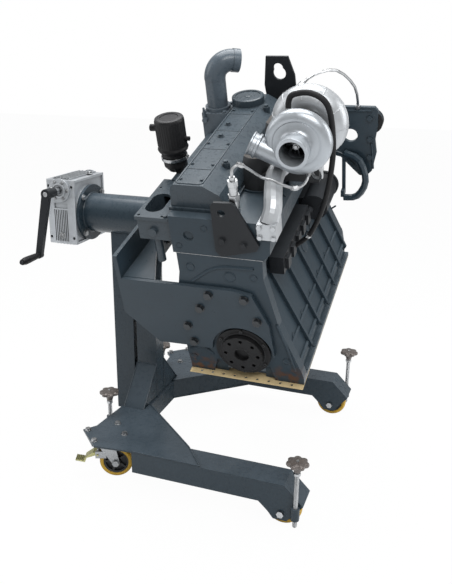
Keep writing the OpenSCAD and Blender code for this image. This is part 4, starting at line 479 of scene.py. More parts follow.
def sweep(tool, path, radii, sides=16):
    """A closed round tube along a path, with a radius at each point."""
    points = [Vector(p) for p in path]
    tangent = (points[1] - points[0]).normalized()
    side = tangent.orthogonal().normalized()
    rings = []
    for i, point in enumerate(points):
        ahead = points[min(i + 1, len(points) - 1)]
        behind = points[max(i - 1, 0)]
        tangent = (ahead - behind).normalized()
        side = (side - tangent * side.dot(tangent)).normalized()
        other = tangent.cross(side)
        radius = radii[i] if isinstance(radii, (list, tuple)) else radii
        ring = []
        for k in range(sides):
            angle = TAU * k / sides
            ring.append(tool.verts.new(point + (side * math.cos(angle) + other * math.sin(angle)) * radius))
        rings.append(ring)
    skin(tool, rings)


def rounded_path(points, steps=8):
    """Points on a smooth curve through the given ones."""
    points = [Vector(p) for p in points]
    ends = [points[0] * 2 - points[1]] + points + [points[-1] * 2 - points[-2]]
    path = []
    for i in range(1, len(ends) - 2):
        a, b, c, d = ends[i - 1 : i + 3]
        for k in range(steps):
            t = k / steps
            bend = (a * 2 - b * 5 + c * 4 - d) * t**2
            twist = (b * 3 - a - c * 3 + d) * t**3
            path.append((b * 2 + (c - a) * t + bend + twist) / 2)
    path.append(points[-1])
    return path


def facing(place, direction):
    """A frame whose Z runs along a direction from a place."""
    return Matrix.Translation(place) @ Vector(direction).to_track_quat("Z", "Y").to_matrix().to_4x4()


def hex_bolt(tool, place, size, washer=True):
    """A hexagon head with a chamfered crown on a washer, standing on z = 0."""
    radius = size * MM
    height = radius * 0.72
    base = 0.0
    if washer:
        base = radius * 0.18
        disc_shares = [(0.3, 0), (1.28, 0), (1.3, 0.6), (1.22, 1), (0.3, 1)]
        lathe(tool, [(radius * a, base * b) for a, b in disc_shares], 24, place)
    prism(tool, hexagon(radius), base, base + height * 0.82, place)
    crown_shares = [(0, 0.5), (0.9, 0.5), (0.9, 0.84), (0.8, 1), (0, 1)]
    solid_lathe(tool, [(radius * a, base + height * b) for a, b in crown_shares], 24, place)


def spot(x, y, z, direction):
    """A frame on the engine that faces along one of its own directions."""
    return facing(on_engine(x, y, z), ENGINE.to_3x3() @ Vector(direction))


# Wheels: a moulded tread on a spoked core


def make_wheel(node, centre, axis):
    body = body_of_node(node)
    place = facing(centre, axis)
    radius = 62.5 * MM
    half = 18 * MM
    rim = radius * 0.76
    profile = [(rim - MM, -half * 0.86), (rim, -half * 0.92)]
    for k in range(13):
        angle = -math.pi / 2 + math.pi * k / 12
        profile.append((radius - half * 0.42 * (1 - math.cos(angle)), half * 0.97 * math.sin(angle)))
    profile += [(rim, half * 0.92), (rim - MM, half * 0.86)]
    tread = bmesh.new()
    lathe(tread, profile, 72, place)
    tread_piece = dress(node + "_tread", tread, "wheel_tread", 50, body)
    core = bmesh.new()
    band = [(rim * 0.84, 0.7), (rim - 0.2 * MM, 0.84)]
    hub = [(8.2 * MM, 1.05), (17 * MM, 1.05), (19 * MM, 0.8)]
    web = [(18 * MM, 0.18), (rim * 0.86, 0.18)]
    for side, steps in ((band, 72), (hub, 40), (web, 72)):
        outline = [(r, -half * share) for r, share in side]
        outline += [(r, half * share) for r, share in side[::-1]]
        lathe(core, outline, steps, place)
    for k in range(5):
        turn = place @ Matrix.Rotation(TAU * k / 5, 4, "Z")
        prism(
            core,
            [(17 * MM, -6 * MM), (rim * 0.86, -3.4 * MM), (rim * 0.86, 3.4 * MM), (17 * MM, 6 * MM)],
            -half * 0.66, half * 0.66, turn,
        )
    add_object(node + "_core", core, CORE_IRON, body)
    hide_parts(node)


CASTER_TURN = math.radians(20)
FORK_AXIS = Vector((-math.sin(CASTER_TURN), math.cos(CASTER_TURN), 0))
SIDES = ("near", "far")


def box_of(node):
    low, high = (Vector(v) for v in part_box(node))
    return low, high, (low + high) / 2


for side_name in SIDES:
    for end, axle in (("left", FORK_AXIS), ("right", Vector((0, 1, 0)))):
        wheel_node = "%s_%s_wheel" % (side_name, end)
        make_wheel(wheel_node, box_of(wheel_node)[2], axle)


# Levelling screws with a real thread, and star knobs


def make_screw(node):
    low, high, middle = box_of(node)
    radius = 8 * MM
    pitch = 3 * MM
    depth = 0.95 * MM
    neck = high.z - 42 * MM
    thread_end = low.z + 3 * MM
    sides, rows = 20, 4
    count = int((neck - thread_end) / pitch * rows)
    tool = bmesh.new()
    rings = []
    for i in range(count + 1):
        ring = []
        for k in range(sides):
            phase = (i / rows - k / sides) % 1
            r = radius - depth * abs(phase * 2 - 1)
            if i in (0, count):
                r = radius - depth
            angle = TAU * k / sides
            x, y = around(r, angle)
            ring.append(tool.verts.new((middle.x + x, middle.y + y, thread_end + i * pitch / rows)))
        rings.append(ring)
    skin(tool, rings)
    place = Matrix.Translation((middle.x, middle.y, 0))
    tip = mm((0, 0), (5.4, 0), (6.6, 1.4), (6.9, 5), (0, 5))
    solid_lathe(tool, [(r, low.z + up) for r, up in tip], 32, place)
    end, thick = neck - 2 * MM, 4.75 * MM
    stem = [(0, end), (thick, end), (thick, high.z - MM), (4 * MM, high.z), (0, high.z)]
    solid_lathe(tool, stem, 24, place)
    prism(tool, hexagon(radius * 1.55), neck - 14 * MM, neck - 5 * MM, place)
    piece = dress(node + "_thread", tool, "zinc_bolts", 40, body_of_node(node))
    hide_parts(node)


def make_knob(node):
    low, high, middle = box_of(node)
    lobes, sides = 7, 112
    radius = (high.y - low.y) / 2
    height = high.z - low.z
    tool = bmesh.new()
    bore = 5.2 * MM
    layers = [
        (0.44, bore), (0.44, 0.36), (0.50, 0.40), (0.56, 0.80), (0.62, 0.95), (0.72, 1.0), (0.84, 1.0),
        (0.92, 0.95), (0.97, 0.82), (0.985, 0.45), (1.0, 0.3), (1.0, bore),
    ]
    rings = []
    for level, share in layers:
        ring = []
        for k in range(sides):
            angle = TAU * k / sides
            if share == bore:
                r = bore
            else:
                wave = 0.5 + 0.5 * math.cos(lobes * angle)
                star = 1 - 0.2 * (1 - wave) ** 1.6
                r = radius * share * (1 + (star - 1) * max(0.0, (share - 0.4) / 0.6))
            x, y = around(r, angle)
            ring.append(tool.verts.new((middle.x + x, middle.y + y, low.z + height * level)))
        rings.append(ring)
    skin(tool, rings + rings[:1], capped=False)
    place = Matrix.Translation((middle.x, middle.y, 0))
    neck = low.z + height * 0.45
    lathe(tool, [(bore, low.z), (radius * 0.3, low.z), (radius * 0.42, neck), (bore, neck)], 40, place)
    piece = dress(node + "_star", tool, "knob_plastic", 45, body_of_node(node))
    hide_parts(node)


for side_name in SIDES:
    for end in ("left", "right"):
        make_screw("%s_%s_screw" % (side_name, end))
        make_knob("%s_%s_knob" % (side_name, end))


# Turbocharger: a growing scroll for the compressor, with its bolts and its bladed wheel

TURBO_X = 178
TURBO_Z = 695
COMPRESSOR_Y = 147
OUTLET_TURN = math.radians(25)


def scroll_path(outer, thin, thick, start, turns, count):
    """Centre points and radii of a scroll that grows along its turn, in its own plane."""
    path, radii = [], []
    for i in range(count + 1):
        t = i / count
        radius = thin + (thick - thin) * t
        angle = start - turns * TAU * t
        reach = outer - radius
        path.append(Vector((reach * math.cos(angle), 0, reach * math.sin(angle))))
        radii.append(radius)
    return path, radii


def make_compressor():
    tool = bmesh.new()
    plane = ENGINE @ Matrix.Translation(Vector((TURBO_X, COMPRESSOR_Y, TURBO_Z)) * MM)
    turned = plane @ Matrix.Rotation(OUTLET_TURN, 4, "Y")
    outer = 98.5 * MM
    thick = 31.5 * MM
    path, radii = scroll_path(outer, 19 * MM, thick, math.radians(262), 0.98, 60)
    end = path[-1]
    pipe_end = -100 * MM
    for step in range(1, 9):
        path.append(Vector((end.x + (pipe_end - end.x) * step / 8, 0, end.z - 2 * MM * step / 8)))
        radii.append(thick + 0.6 * MM * step / 8)
    sweep(tool, [turned @ p for p in path], radii, 28)
    back = plane @ Matrix.Rotation(-math.pi / 2, 4, "X")
    bore = 37
    lathe(
        tool,
        mm(
            (bore, -81), (46, -81), (47, -80), (47, -58), (43.5, -56), (43.5, -40), (46, -34), (54, -29),
            (70, -26), (72, 20), (79, 24), (79, 36), (46.8, 36), (46.8, -8), (bore, -30),
        ),
        96, back,
    )
    lug = Matrix.Translation((75 * MM, 0, 25 * MM))
    for k in range(8):
        bolt = back @ Matrix.Rotation(TAU * (k + 0.5) / 8, 4, "Z") @ lug
        lathe(tool, mm((0.5, -6), (6, -6), (7.5, 0), (7.5, 9), (0.5, 9)), 16, bolt)
    mouth = turned @ Matrix.Translation((0, 0, end.z - 2 * MM)) @ Matrix.Rotation(-math.pi / 2, 4, "Y")
    inner = 27.7
    lathe(
        tool,
        mm(
            (inner, 84), (32.1, 84), (32.1, 98), (37.4, 101), (37.4, 107), (33.6, 109), (33.6, 120),
            (36.4, 122), (36.4, 125), (34.5, 126.3), (30, 126.3), (inner, 124),
        ),
        64, mouth,
    )
    piece = dress("compressor_scroll", tool, "silver_cast", 40)
    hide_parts("compressor_housing")


def make_compressor_wheel():
    """Curved blades on a hub, behind the inlet, and the plain turbine end behind them."""
    tool = bmesh.new()
    axis_at = Matrix.Translation(Vector((TURBO_X, 0, TURBO_Z)) * MM)
    back = ENGINE @ axis_at @ Matrix.Rotation(-math.pi / 2, 4, "X")
    solid_lathe(
        tool,
        mm(
            (0, 112), (5, 112), (6, 113), (6, 122), (11, 123), (13, 136), (19, 150), (32, 159), (44.5, 161),
            (44.5, 164), (6, 166), (6, 262), (14, 264), (40, 284), (40, 288), (10, 292), (0, 292),
        ),
        48, back,
    )
    prism(tool, hexagon(9.5 * MM), 115 * MM, 123 * MM, back)
    for k in range(12):
        front = 137 if k % 2 else 127
        turn = back @ Matrix.Rotation(TAU * k / 12, 4, "Z")
        rows = 7
        lines = []
        for i in range(rows):
            t = i / (rows - 1)
            y = (front + (160 - front) * t) * MM
            twist = -0.75 * (1 - t) ** 1.6
            root = (10 + 22 * t**2) * MM
            tip = (33.5 + 10.5 * t**3) * MM
            row = []
            for r in (root, tip):
                for thick in (-0.6 * MM, 0.6 * MM):
                    angle = twist + thick / r
                    row.append(tool.verts.new(turn @ Vector((*around(r, angle), y))))
            lines.append([row[0], row[1], row[3], row[2]])
        skin(tool, lines)
    piece = dress("compressor_wheel", tool, "machined_steel", 30, "rotor")
    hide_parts("turbo_rotor")


make_compressor()
make_compressor_wheel()


# Hose from the turbo's centre down to the oil cooler: its route is the part's own, in millimetres

HOSE_ROUTE = [
    (140, 197, 740), (138, 206, 790), (156, 206, 812), (206, 204, 816), (250, 202, 784),
    (264, 204, 700), (260, 210, 600), (232, 224, 460), (180, 244, 330), (124, 250, 270),
]
HOSE_RADIUS = 8.5 * MM


def make_hose():
    path = rounded_path([on_engine(*p) for p in HOSE_ROUTE], 8)
    tool = bmesh.new()
    sweep(tool, path, HOSE_RADIUS, 20)
    hose = dress("turbo_hose_rubber", tool, "hose_rubber")
    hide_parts("turbo_hose")
    clamps = bmesh.new()
    for i in (4, len(path) - 8):
        place = facing(path[i], path[i + 1] - path[i])
        lathe(clamps, mm((8.6, -5), (9.6, -5), (9.6, 5), (8.6, 5)), 28, place)
        prism(clamps, mm((8, -4), (14, -4), (14, 4), (8, 4)), -5 * MM, 5 * MM, place)
    clamp_piece = dress("hose_clamps", clamps, "zinc_bolts")


make_hose()


# Small parts on the engine and its stand, with places in millimetres

LEFT = (-1, 0, 0)
FRONT = (0, 1, 0)
REAR = (0, -1, 0)
UP = (0, 0, 1)
DECK = 373
HEAD_TOP = 503
COVER_TOP = 588
FIRST_CYLINDER = 85
PITCH = 124
FLANK_NORMAL = (0.9162, 0, 0.4006)
BEVEL_NORMAL = (0.76, 0, 0.65)


def engine_run(tool, route, radius, sides=8, steps=1):
    """A round bar or bead along points on the engine, straight between them with one step."""
    sweep(tool, rounded_path([on_engine(*p) for p in route], steps), radius * MM, sides)


def bolts_at(tool, places, direction, size):
    for place in places:
        hex_bolt(tool, spot(*place, direction), size)


def plug_at(tool, place, direction, radius):
    """A pressed cup plug: a rim round a dished floor."""
    dish = [(0, -2), (1, -2), (1, 1.6), (0.93, 2.4), (0.84, 1.2), (0.7, 0.6), (0.3, 0.9), (0, 1)]
    solid_lathe(tool, mm(*((radius * share, z) for share, z in dish)), 36, spot(*place, direction))


def clamp_at(tool, place, direction, radius, width):
    """A band clamp with its screw housing."""
    r, w = radius * MM, width * MM / 2
    frame_at = spot(*place, direction)
    lathe(tool, [(r, -w), (r + 0.9 * MM, -w), (r + 1.1 * MM, 0), (r + 0.9 * MM, w), (r, w)], 48, frame_at)
    prism(
        tool, [(r - MM, -6 * MM), (r + 5 * MM, -6 * MM), (r + 5 * MM, 6 * MM), (r - MM, 6 * MM)], -w, w,
        frame_at,
    )
    solid_lathe(
        tool, mm((0, -10), (3, -10), (3, 9), (0, 9)), 12,
        frame_at @ Matrix.Translation((r + 3 * MM, 0, 0)) @ Matrix.Rotation(math.pi / 2, 4, "X"),
    )


def fitting_at(tool, place, direction, radius):
    """A union nut with its collar on a thin line."""
    r = radius * MM
    frame_at = spot(*place, direction)
    prism(tool, hexagon(r), -r * 0.9, r * 0.9, frame_at)
    shares = [(0, -1.5), (0.72, -1.5), (0.72, -0.8), (0.8, -0.8), (0.8, 1.1), (0.66, 1.5), (0, 1.5)]
    solid_lathe(tool, [(r * a, r * b) for a, b in shares], 24, frame_at)


def cover_trim():
    """Raised edge, cross ribs and small screws on the rocker cover's top."""
    tool = bmesh.new()
    left, right, low, high = -183, -97, 54, 622
    corner = 8
    rim = [(left, y) for y in (high, 400, 200, low + corner)]
    rim += [(left + corner, low), (right - corner, low)]
    rim += [(right, y) for y in (low + corner, 200, 400, high)]
    engine_run(tool, [(x, y, COVER_TOP) for x, y in rim], 3.2, 10)
    for y in (150, 290, 430, 570):
        engine_run(tool, [(left, y, COVER_TOP - 0.6), (right, y, COVER_TOP - 0.6)], 2.4)
    cap = spot(-146, 682, COVER_TOP + 22, UP)
    lathe(tool, mm((46, -2), (58.4, -2), (58.4, 1.5), (56, 3), (47, 3), (46, 1.5)), 64, cap)
    solid_lathe(tool, mm((0, -2), (12, -2), (12, 1.2), (10, 2), (0, 2)), 32, cap)
    add_object("cover_trim", tool, PAINTED_CAST, "engine", smooth=40)
    screws = bmesh.new()
    bolts_at(screws, [(x, y, COVER_TOP) for y in (80, 180, 330, 600) for x in (-174, -106)], UP, 5)
    bolts_at(screws, [(-198, y, 520) for y in (100, 240, 380, 520, 660)], LEFT, 5.5)
    dress("cover_screws", screws, "engine_paint", 30)


def on_flank(share, y):
    """A place on the block's sloping flank, as a share of the way down."""
    return 58 + 129 * share, y, 232 - 295 * share


def block_castings():
    """Plugs, pads and ribs that the block and head casting carry."""
    tool = bmesh.new()
    for i in range(5):
        y = FIRST_CYLINDER + i * PITCH
        if i >= 3:
            plug_at(tool, on_flank(0.34, y), FLANK_NORMAL, 23)
        plug_at(tool, on_flank(0.72, y), FLANK_NORMAL, 11)
    for start, end in ((14, 140), (152, 264), (276, 388), (400, 512), (524, 636), (648, 780)):
        engine_run(tool, [(154, start, 14), (154, end, 14)], 6)
        engine_run(tool, [(182, start, -49), (182, end, -49)], 7)
    for route in (
        [(-150, 1, 268), (-60, 1, 330), (60, 1, 340)],
        [(122, 1, 130), (150, 1, 40), (176, 1, -60)],
        [(-196, 1, -30), (-150, 1, -10), (-112, 1, -40)],
    ):
        engine_run(tool, route, 6, 8, 5)
    for place, radius in (
        ((-150, 0, 322), 15), ((-20, 0, 300), 19), ((58, 0, 306), 12), ((148, 0, -22), 13),
        ((-188, 0, -62), 12), ((60, 0, 440), 16), ((-85, 0, 470), 10), ((-176, 0, 400), 10),
    ):
        plug_at(tool, place, REAR, radius)
    for y in (270, 394, 518):
        solid_lathe(tool, mm((0, -4), (15, -4), (14, 0), (0, 0)), 28, spot(-201, y, 470, LEFT))
    boss = mm((0, -6), (13, -6), (11.5, 5), (0, 5))
    for i in range(6):
        solid_lathe(tool, boss, 28, spot(109, FIRST_CYLINDER + i * PITCH, 488, BEVEL_NORMAL))
    dress("block_castings", tool, "block_iron", 40)
    bolts = bmesh.new()
    bolts_at(bolts, [(108, y, 490) for y in (147, 271, 395, 519, 643)], BEVEL_NORMAL, 9)
    bolts_at(bolts, [(x, y, HEAD_TOP) for y in (24, 360, 608, 778) for x in (70, 10)][1:], UP, 10)
    for x in (195, -195):
        bolts_at(bolts, [(x, y, -104) for y in range(60, 780, PITCH)], UP, 6)
    dress("casting_bolts", bolts, "engine_paint", 30)


def head_joint():
    """The edge of the steel gasket between block and head."""
    tool = bmesh.new()
    frame_at = ENGINE @ Matrix.Scale(MM, 4)
    prism(
        tool, [(-190.6, -0.8), (92.5, -0.8), (92.5, 790.8), (-190.6, 790.8)], DECK - 0.9, DECK + 0.9,
        frame_at,
    )
    dress("head_joint", tool, "machined_steel", 30)


def seal_screws():
    """Socket screws and the lip ring on the seal carrier, and rings on the crank's flange."""
    carrier_face, flange_face = -8, -26
    tool = bmesh.new()
    for k in range(6):
        x, drop = around(85.5, math.radians(30 + 60 * k))
        frame_at = spot(x, carrier_face, -drop, REAR)
        lathe(tool, mm((2.4, -1), (6, -1), (6, 5), (5.4, 5.8), (3, 5.8), (2.4, 5)), 24, frame_at)
        solid_lathe(tool, mm((0, -1), (2.5, -1), (2.5, 2), (0, 2)), 12, frame_at)
    lip = mm((74.5, -0.5), (79, -0.5), (78.4, 1.4), (75, 1.4))
    lathe(tool, lip, 72, spot(0, carrier_face, 0, REAR))
    dress("seal_screws", tool, "dark_iron", 30)
    ring = bmesh.new()
    flange = spot(0, flange_face, 0, REAR)
    lathe(ring, mm((25.5, -2), (31, -2), (31, 0.9), (26.4, 0.9)), 48, flange)
    lathe(ring, mm((69.6, -2), (71.6, -2), (71.2, 0.8), (69.9, 0.8)), 72, flange)
    add_object("flange_rings", ring, FLYWHEEL_BLACK, "crank", smooth=30)


def turbo_details():
    """The V-band with its screw, and the seams and studs of the hot side."""
    band = bmesh.new()
    groove = mm((54, -7), (58, -8), (60, -3), (60, 3), (58, 8), (54, 7))
    band_y, screw_x = 230, 121
    lathe(band, groove, 72, spot(TURBO_X, band_y, TURBO_Z, FRONT))
    screw = spot(screw_x, band_y, 706, UP)
    solid_lathe(band, mm((0, -22), (3.4, -22), (3.4, 22), (0, 22)), 14, screw)
    hex_bolt(band, spot(screw_x, band_y, 726, UP), 7, False)
    prism(band, mm((-8, -7), (5, -7), (5, 7), (-8, 7)), -4 * MM, 12 * MM, screw)
    dress("v_band", band, "zinc_bolts", 40)
    cast = bmesh.new()
    scroll_y, scroll_ring, scroll_tube = 284, 69.6, 46.2

    def on_scroll(reach, angle, y):
        x, z = around(reach, angle)
        return TURBO_X + x, y, TURBO_Z + z

    for k in range(7):
        route = []
        for part in range(7):
            out, along = around(scroll_tube, math.radians(-70 + 140 * part / 6))
            route.append(on_scroll(scroll_ring + out, math.radians(200 - 34 * k), scroll_y + along))
        engine_run(cast, route, 1.8, 6, 2)
    seam = [on_scroll(115.6, math.radians(215 - 6 * k), scroll_y) for k in range(43)]
    engine_run(cast, seam, 1.5, 6)
    add_object("turbine_seams", cast, BURNT_SILVER, "engine", smooth=50)
    studs = bmesh.new()
    for x, y in ((-30, 254), (30, 254), (-30, 314), (30, 314)):
        hex_bolt(studs, spot(TURBO_X + x, y, 600, UP), 9)
    for k in range(8):
        hex_bolt(studs, spot(*on_scroll(58, TAU * (k + 0.5) / 8, 366), FRONT), 5.5, False)
    dress("turbine_studs", studs, "dark_iron", 30)


def line_fittings():
    tool = bmesh.new()
    for place, direction, radius in (
        ((36, 40, 668), (0.8, 0.35, -0.5), 8), ((180, 80, 584), (0.8, 0.6, -0.1), 8),
        ((206, 147, 604), (0.2, 0.4, 1), 9), ((178, 211, 638), (0.2, 0, -1), 10),
        ((240, 150, 618), (0, -0.2, 1), 9), ((250, 696, 577), (0, 0.6, -0.8), 9),
        ((150, 302, 801), (0.5, 0.7, 0.4), 9),
    ):
        fitting_at(tool, place, direction, radius)
    dress("line_fittings", tool, "zinc_bolts", 30)


def manifold_details():
    """Joint rings, ribs and capped bolts on the exhaust manifold."""
    tool = bmesh.new()
    joint = mm((31.5, -16), (36, -16), (36, -8), (33.5, -5), (33.5, 5), (36, 8), (36, 16), (31.5, 16))
    for y in (360, 608):
        lathe(tool, joint, 48, spot(70.4, y, 541.4, FRONT))
    cap_x, cap_ys = 24, (236, 484, 732)
    for y in cap_ys:
        for k in range(3):
            out, along = around(57, math.radians(-60 + 60 * k))
            engine_run(tool, [(cap_x + out, y + along, 512), (cap_x + out, y + along, 570)], 4)
    dress("manifold_ribs", tool, "dark_iron", 40)
    nuts = bmesh.new()
    for y in cap_ys:
        solid_lathe(nuts, mm((0, -3), (20, -3), (20, 2), (17, 4), (0, 4)), 40, spot(cap_x, y, 606, UP))
        hex_bolt(nuts, spot(cap_x, y, 609, UP), 9)
    dress("manifold_caps", nuts, "dark_iron", 30)


def canister_trim():
    """Ribs round the breather canister, a ring on its lid, nozzle rings and a band clamp."""
    tool = bmesh.new()
    axis_x, axis_y = -292, 304
    for k in range(36):
        x, y = around(48.4, TAU * k / 36)
        engine_run(tool, [(axis_x + x, axis_y + y, 594), (axis_x + x, axis_y + y, 676)], 1.5, 6)
    top = spot(axis_x, axis_y, 684, UP)
    lathe(tool, mm((30, -2), (45, -2), (45, 1), (43, 2), (31, 2)), 64, top)
    for x in (-361, -354):
        lathe(tool, mm((10.5, -1.5), (12.2, 0), (10.5, 1.5)), 32, spot(x, axis_y, 647, LEFT))
    dress("canister_ribs", tool, "black_plastic", 40)
    band = bmesh.new()
    clamp_at(band, (axis_x, axis_y, 548), UP, 43.6, 11)
    dress("canister_band", band, "zinc_bolts", 40)


GEARBOX_X = -505
WORM_HEIGHT = 1012


def gearbox_details():
    """Radial ribs, fins, plugs and a sight glass on the gearbox."""
    side_x, axis_z = -567, AXIS_HEIGHT / MM
    cast = bmesh.new()
    hub = facing(in_stand(side_x, 0, axis_z), (-1, 0, 0))
    for k in range(10):
        turn = hub @ Matrix.Rotation(TAU * k / 10, 4, "Z")
        prism(cast, mm((74, -3), (98, -2), (98, 2), (74, 3)), -2 * MM, 5 * MM, turn)
    lathe(cast, mm((60, 6), (66, 6), (66, 9.6), (62, 10.4), (60, 9)), 64, hub)
    for i in range(6):
        x = GEARBOX_X - 35 + 14 * i
        for z, direction in ((1050, 1), (804, -1)):
            fin = mm((-2.2, 0), (2.2, 0), (2.2, 192), (-2.2, 192))
            low = min(0, direction) * 5 * MM - 1 * MM
            high = max(0, direction) * 5 * MM + 1 * MM
            prism(cast, fin, low, high, Matrix.Translation(in_stand(x, -96, z)))
    ring = facing(in_stand(GEARBOX_X, -120, WORM_HEIGHT), (0, -1, 0))
    lathe(cast, mm((22, -1), (28, -1), (28, 3), (22, 4)), 48, ring)
    dress("gearbox_ribs", cast, "gearbox_cast", 35, "stand")
    plugs = bmesh.new()
    for x, y, z, direction in (
        (GEARBOX_X, -112, 836, (0, -1, 0)), (side_x, 84, 1020, (-1, 0, 0)),
        (side_x, -84, 830, (-1, 0, 0)), (GEARBOX_X, 112, 880, (0, 1, 0)),
    ):
        hex_bolt(plugs, facing(in_stand(x, y, z), direction), 10)
    hex_bolt(plugs, facing(in_stand(GEARBOX_X + 42, 40, 1055), (0, 0, 1)), 9)
    dress("gearbox_plugs", plugs, "zinc_bolts", 30, "stand")
    glass = bmesh.new()
    window = facing(in_stand(side_x, 84, 860), (-1, 0, 0))
    lathe(glass, mm((9, -1), (13, -1), (13, 3), (9.4, 4)), 40, window)
    solid_lathe(glass, mm((0, -1), (9.4, -1), (9.4, 2), (0, 2.6)), 40, window)
    dress("sight_glass", glass, "machined_steel", 40, "stand")


def crank_details():
    """Rings on the crank's grip, and the screw and cap of its hub."""
    lean = Matrix.Rotation(math.radians(12), 4, "Y")
    turned = Matrix.Translation(in_stand(GEARBOX_X, -210, WORM_HEIGHT)) @ lean
    grip = bmesh.new()
    centre = turned @ Matrix.Translation((0, 0, -240 * MM)) @ Matrix.Rotation(math.pi / 2, 4, "X")
    for k in range(9):
        at = (18 + 8.5 * k) * MM
        share = (at / MM - 5) / 98
        radius = 13.5 * MM * (0.8 + 0.32 * min(share, 0.62)) - 0.4 * MM
        ridge = [(radius - MM, at - 2 * MM), (radius + 0.9 * MM, at), (radius - MM, at + 2 * MM)]
        lathe(grip, ridge, 36, centre)
    dress("grip_rings", grip, "black_plastic", 50, "grip")
    screw = bmesh.new()
    hex_bolt(screw, turned @ Matrix.Translation((0, 34 * MM, 18 * MM)), 6, False)
    cap = mm((0, -1.5), (9, -1.5), (9, 1.5), (7.5, 2.5), (0, 2.5))
    solid_lathe(screw, cap, 32, turned @ Matrix.Rotation(math.pi / 2, 4, "X"))
    dress("crank_screw", screw, "zinc_bolts", 30, "worm")


def bead(tool, start, end, radius=3.0, place=in_stand):
    """A weld bead with its ripples, between two places in millimetres."""
    start, end = place(*start), place(*end)
    ripple = 0.5
    length = (end - start).length
    count = max(8, int(length / (2.6 * MM)))
    path = [start.lerp(end, i / count) for i in range(count + 1)]
    radii = [
        (radius - ripple + 2 * ripple * abs(math.sin(i * 1.15)) + RANDOM.uniform(-0.2, 0.2)) * MM
        for i in range(count + 1)
    ]
    radii[0] = radii[-1] = radius * 0.5 * MM
    sweep(tool, path, radii, 8)


def stand_welds():
    tool = bmesh.new()
    beam_top, brace_top, column_top = 172, 315, 851
    leg_low, leg_top = 99, 178
    for sign in (-1, 1):
        foot, brace, heel, elbow, toe = (y * sign for y in (167, 35, 116, 354, 454))
        for x in (-240, -156):
            bead(tool, (x, brace, brace_top), (x, foot, beam_top), 2.4)
            bead(tool, (x, brace, beam_top), (x, brace, brace_top), 2.4)
        bead(tool, (-240, foot, beam_top + 1), (-156, foot, beam_top + 1))
        bead(tool, (-240, brace, brace_top), (-156, brace, brace_top))
        for x in (-240, -338):
            bead(tool, (x, brace, column_top), (x + 84, brace, column_top))
        bead(tool, (-248, 237 * sign, 93), (-248, 237 * sign, beam_top))
        for z in (leg_top, leg_low):
            bead(tool, (-148, heel, z), (115, elbow, z), 2.6)
        for x, y in ((115, elbow), (-62, toe)):
            bead(tool, (x, y, leg_top), (195, toe, leg_top), 2.6)
        for x, y, low, high in (
            (-251, 232, 128, 172), (-251, 254, 128, 172), (523, 457, 60, 104), (545, 457, 60, 104),
        ):
            bead(tool, (x, y * sign, low), (x, y * sign, high), 2.2)
    ring = facing(in_stand(-431, 0, AXIS_HEIGHT / MM), (1, 0, 0))
    collar = mm((74.6, -0.5), (79.5, -0.5), (78.6, 2.6), (75.5, 4.4), (74.6, 4.4))
    lathe(tool, collar, 72, ring)
    dress("stand_welds", tool, "stand_paint", 60, "stand")


def bracket_welds():
    tool = bmesh.new()
    left = -418
    for z in (131, 341):
        bead(tool, (left + 15, 0, z), (left + 15, 280, z), 2.6, on_engine)
    for z in (252, 242, 141, 131):
        bead(tool, (left + 16, 1, z), (left + 130, 1, z), 2.6, on_engine)
    bead(tool, (left + 16, 0.5, 142), (left + 16, 0.5, 241), 2.8, on_engine)
    dress("bracket_welds", tool, "engine_paint", 60)


def front_plate_details():
    """The idler's grooved rim, and the screws and ribs of the plate that carries it."""
    idler_x, idler_z = 292, 508
    plate_face, rib_face = 713, 697
    pulley = bmesh.new()
    rim = mm((9, 4), (20, 4), (38, 6), (42.4, 6))
    for k in range(5):
        low = (8 + 5.2 * k) * MM
        rim += [(42.4 * MM, low), (39.4 * MM, low + 2 * MM), (42.4 * MM, low + 4 * MM)]
    rim += mm((42.4, 36), (35, 36.6), (33, 30), (14, 30), (12, 33), (9, 33))
    lathe(pulley, rim, 72, spot(idler_x, plate_face, idler_z, FRONT))
    dress("idler_rim", pulley, "black_plastic", 30)
    bolts = bmesh.new()
    hex_bolt(bolts, spot(idler_x, 746, idler_z, FRONT), 11)
    places = ((idler_x, 380), (200, 420), (170, 530), (250, 440))
    bolts_at(bolts, [(x, plate_face, z) for x, z in places], FRONT, 9)
    dress("plate_screws", bolts, "zinc_bolts", 30)
    ribs = bmesh.new()
    for route in (
        ((140, 560), (200, 560), (300, 562)),
        ((140, 404), (190, 396), (240, 350)),
        ((308, 340), (304, 400), (300, 440)),
    ):
        engine_run(ribs, [(x, rib_face, z) for x, z in route], 4, 8, 4)
    dress("plate_ribs", ribs, "engine_paint", 40)


def timing_details():
    """Bolts, an edge rib, a seal ring and stiffening ribs on the timing case."""
    face, middle_z = 850, 76
    outline = [
        (-200, -110), (176, -110), (168, -40), (112, 90), (60, 200), (20, 262), (-150, 272), (-216, 230),
        (-232, 120), (-222, 10),
    ]
    tool = bmesh.new()
    places = [(x * 0.93, face, middle_z + (z - middle_z) * 0.93) for x, z in outline]
    bolts_at(tool, places, FRONT, 7)
    dress("timing_bolts", tool, "zinc_bolts", 30)
    rib = bmesh.new()
    loop = [(x * 0.97, face - 1, middle_z + (z - middle_z) * 0.97) for x, z in outline]
    engine_run(rib, loop + [loop[0]], 4)
    lathe(rib, mm((96, -2), (104, -2), (103, 4), (97, 4)), 72, spot(0, face, 0, FRONT))
    for k in range(5):
        x, z = around(1, math.radians(25 + 32 * k))
        engine_run(rib, [(100 * x, face, 100 * z), (153 * x, face, 190 * z)], 3.5)
    add_object("timing_ribs", rib, PAINTED_CAST, "engine", smooth=40)


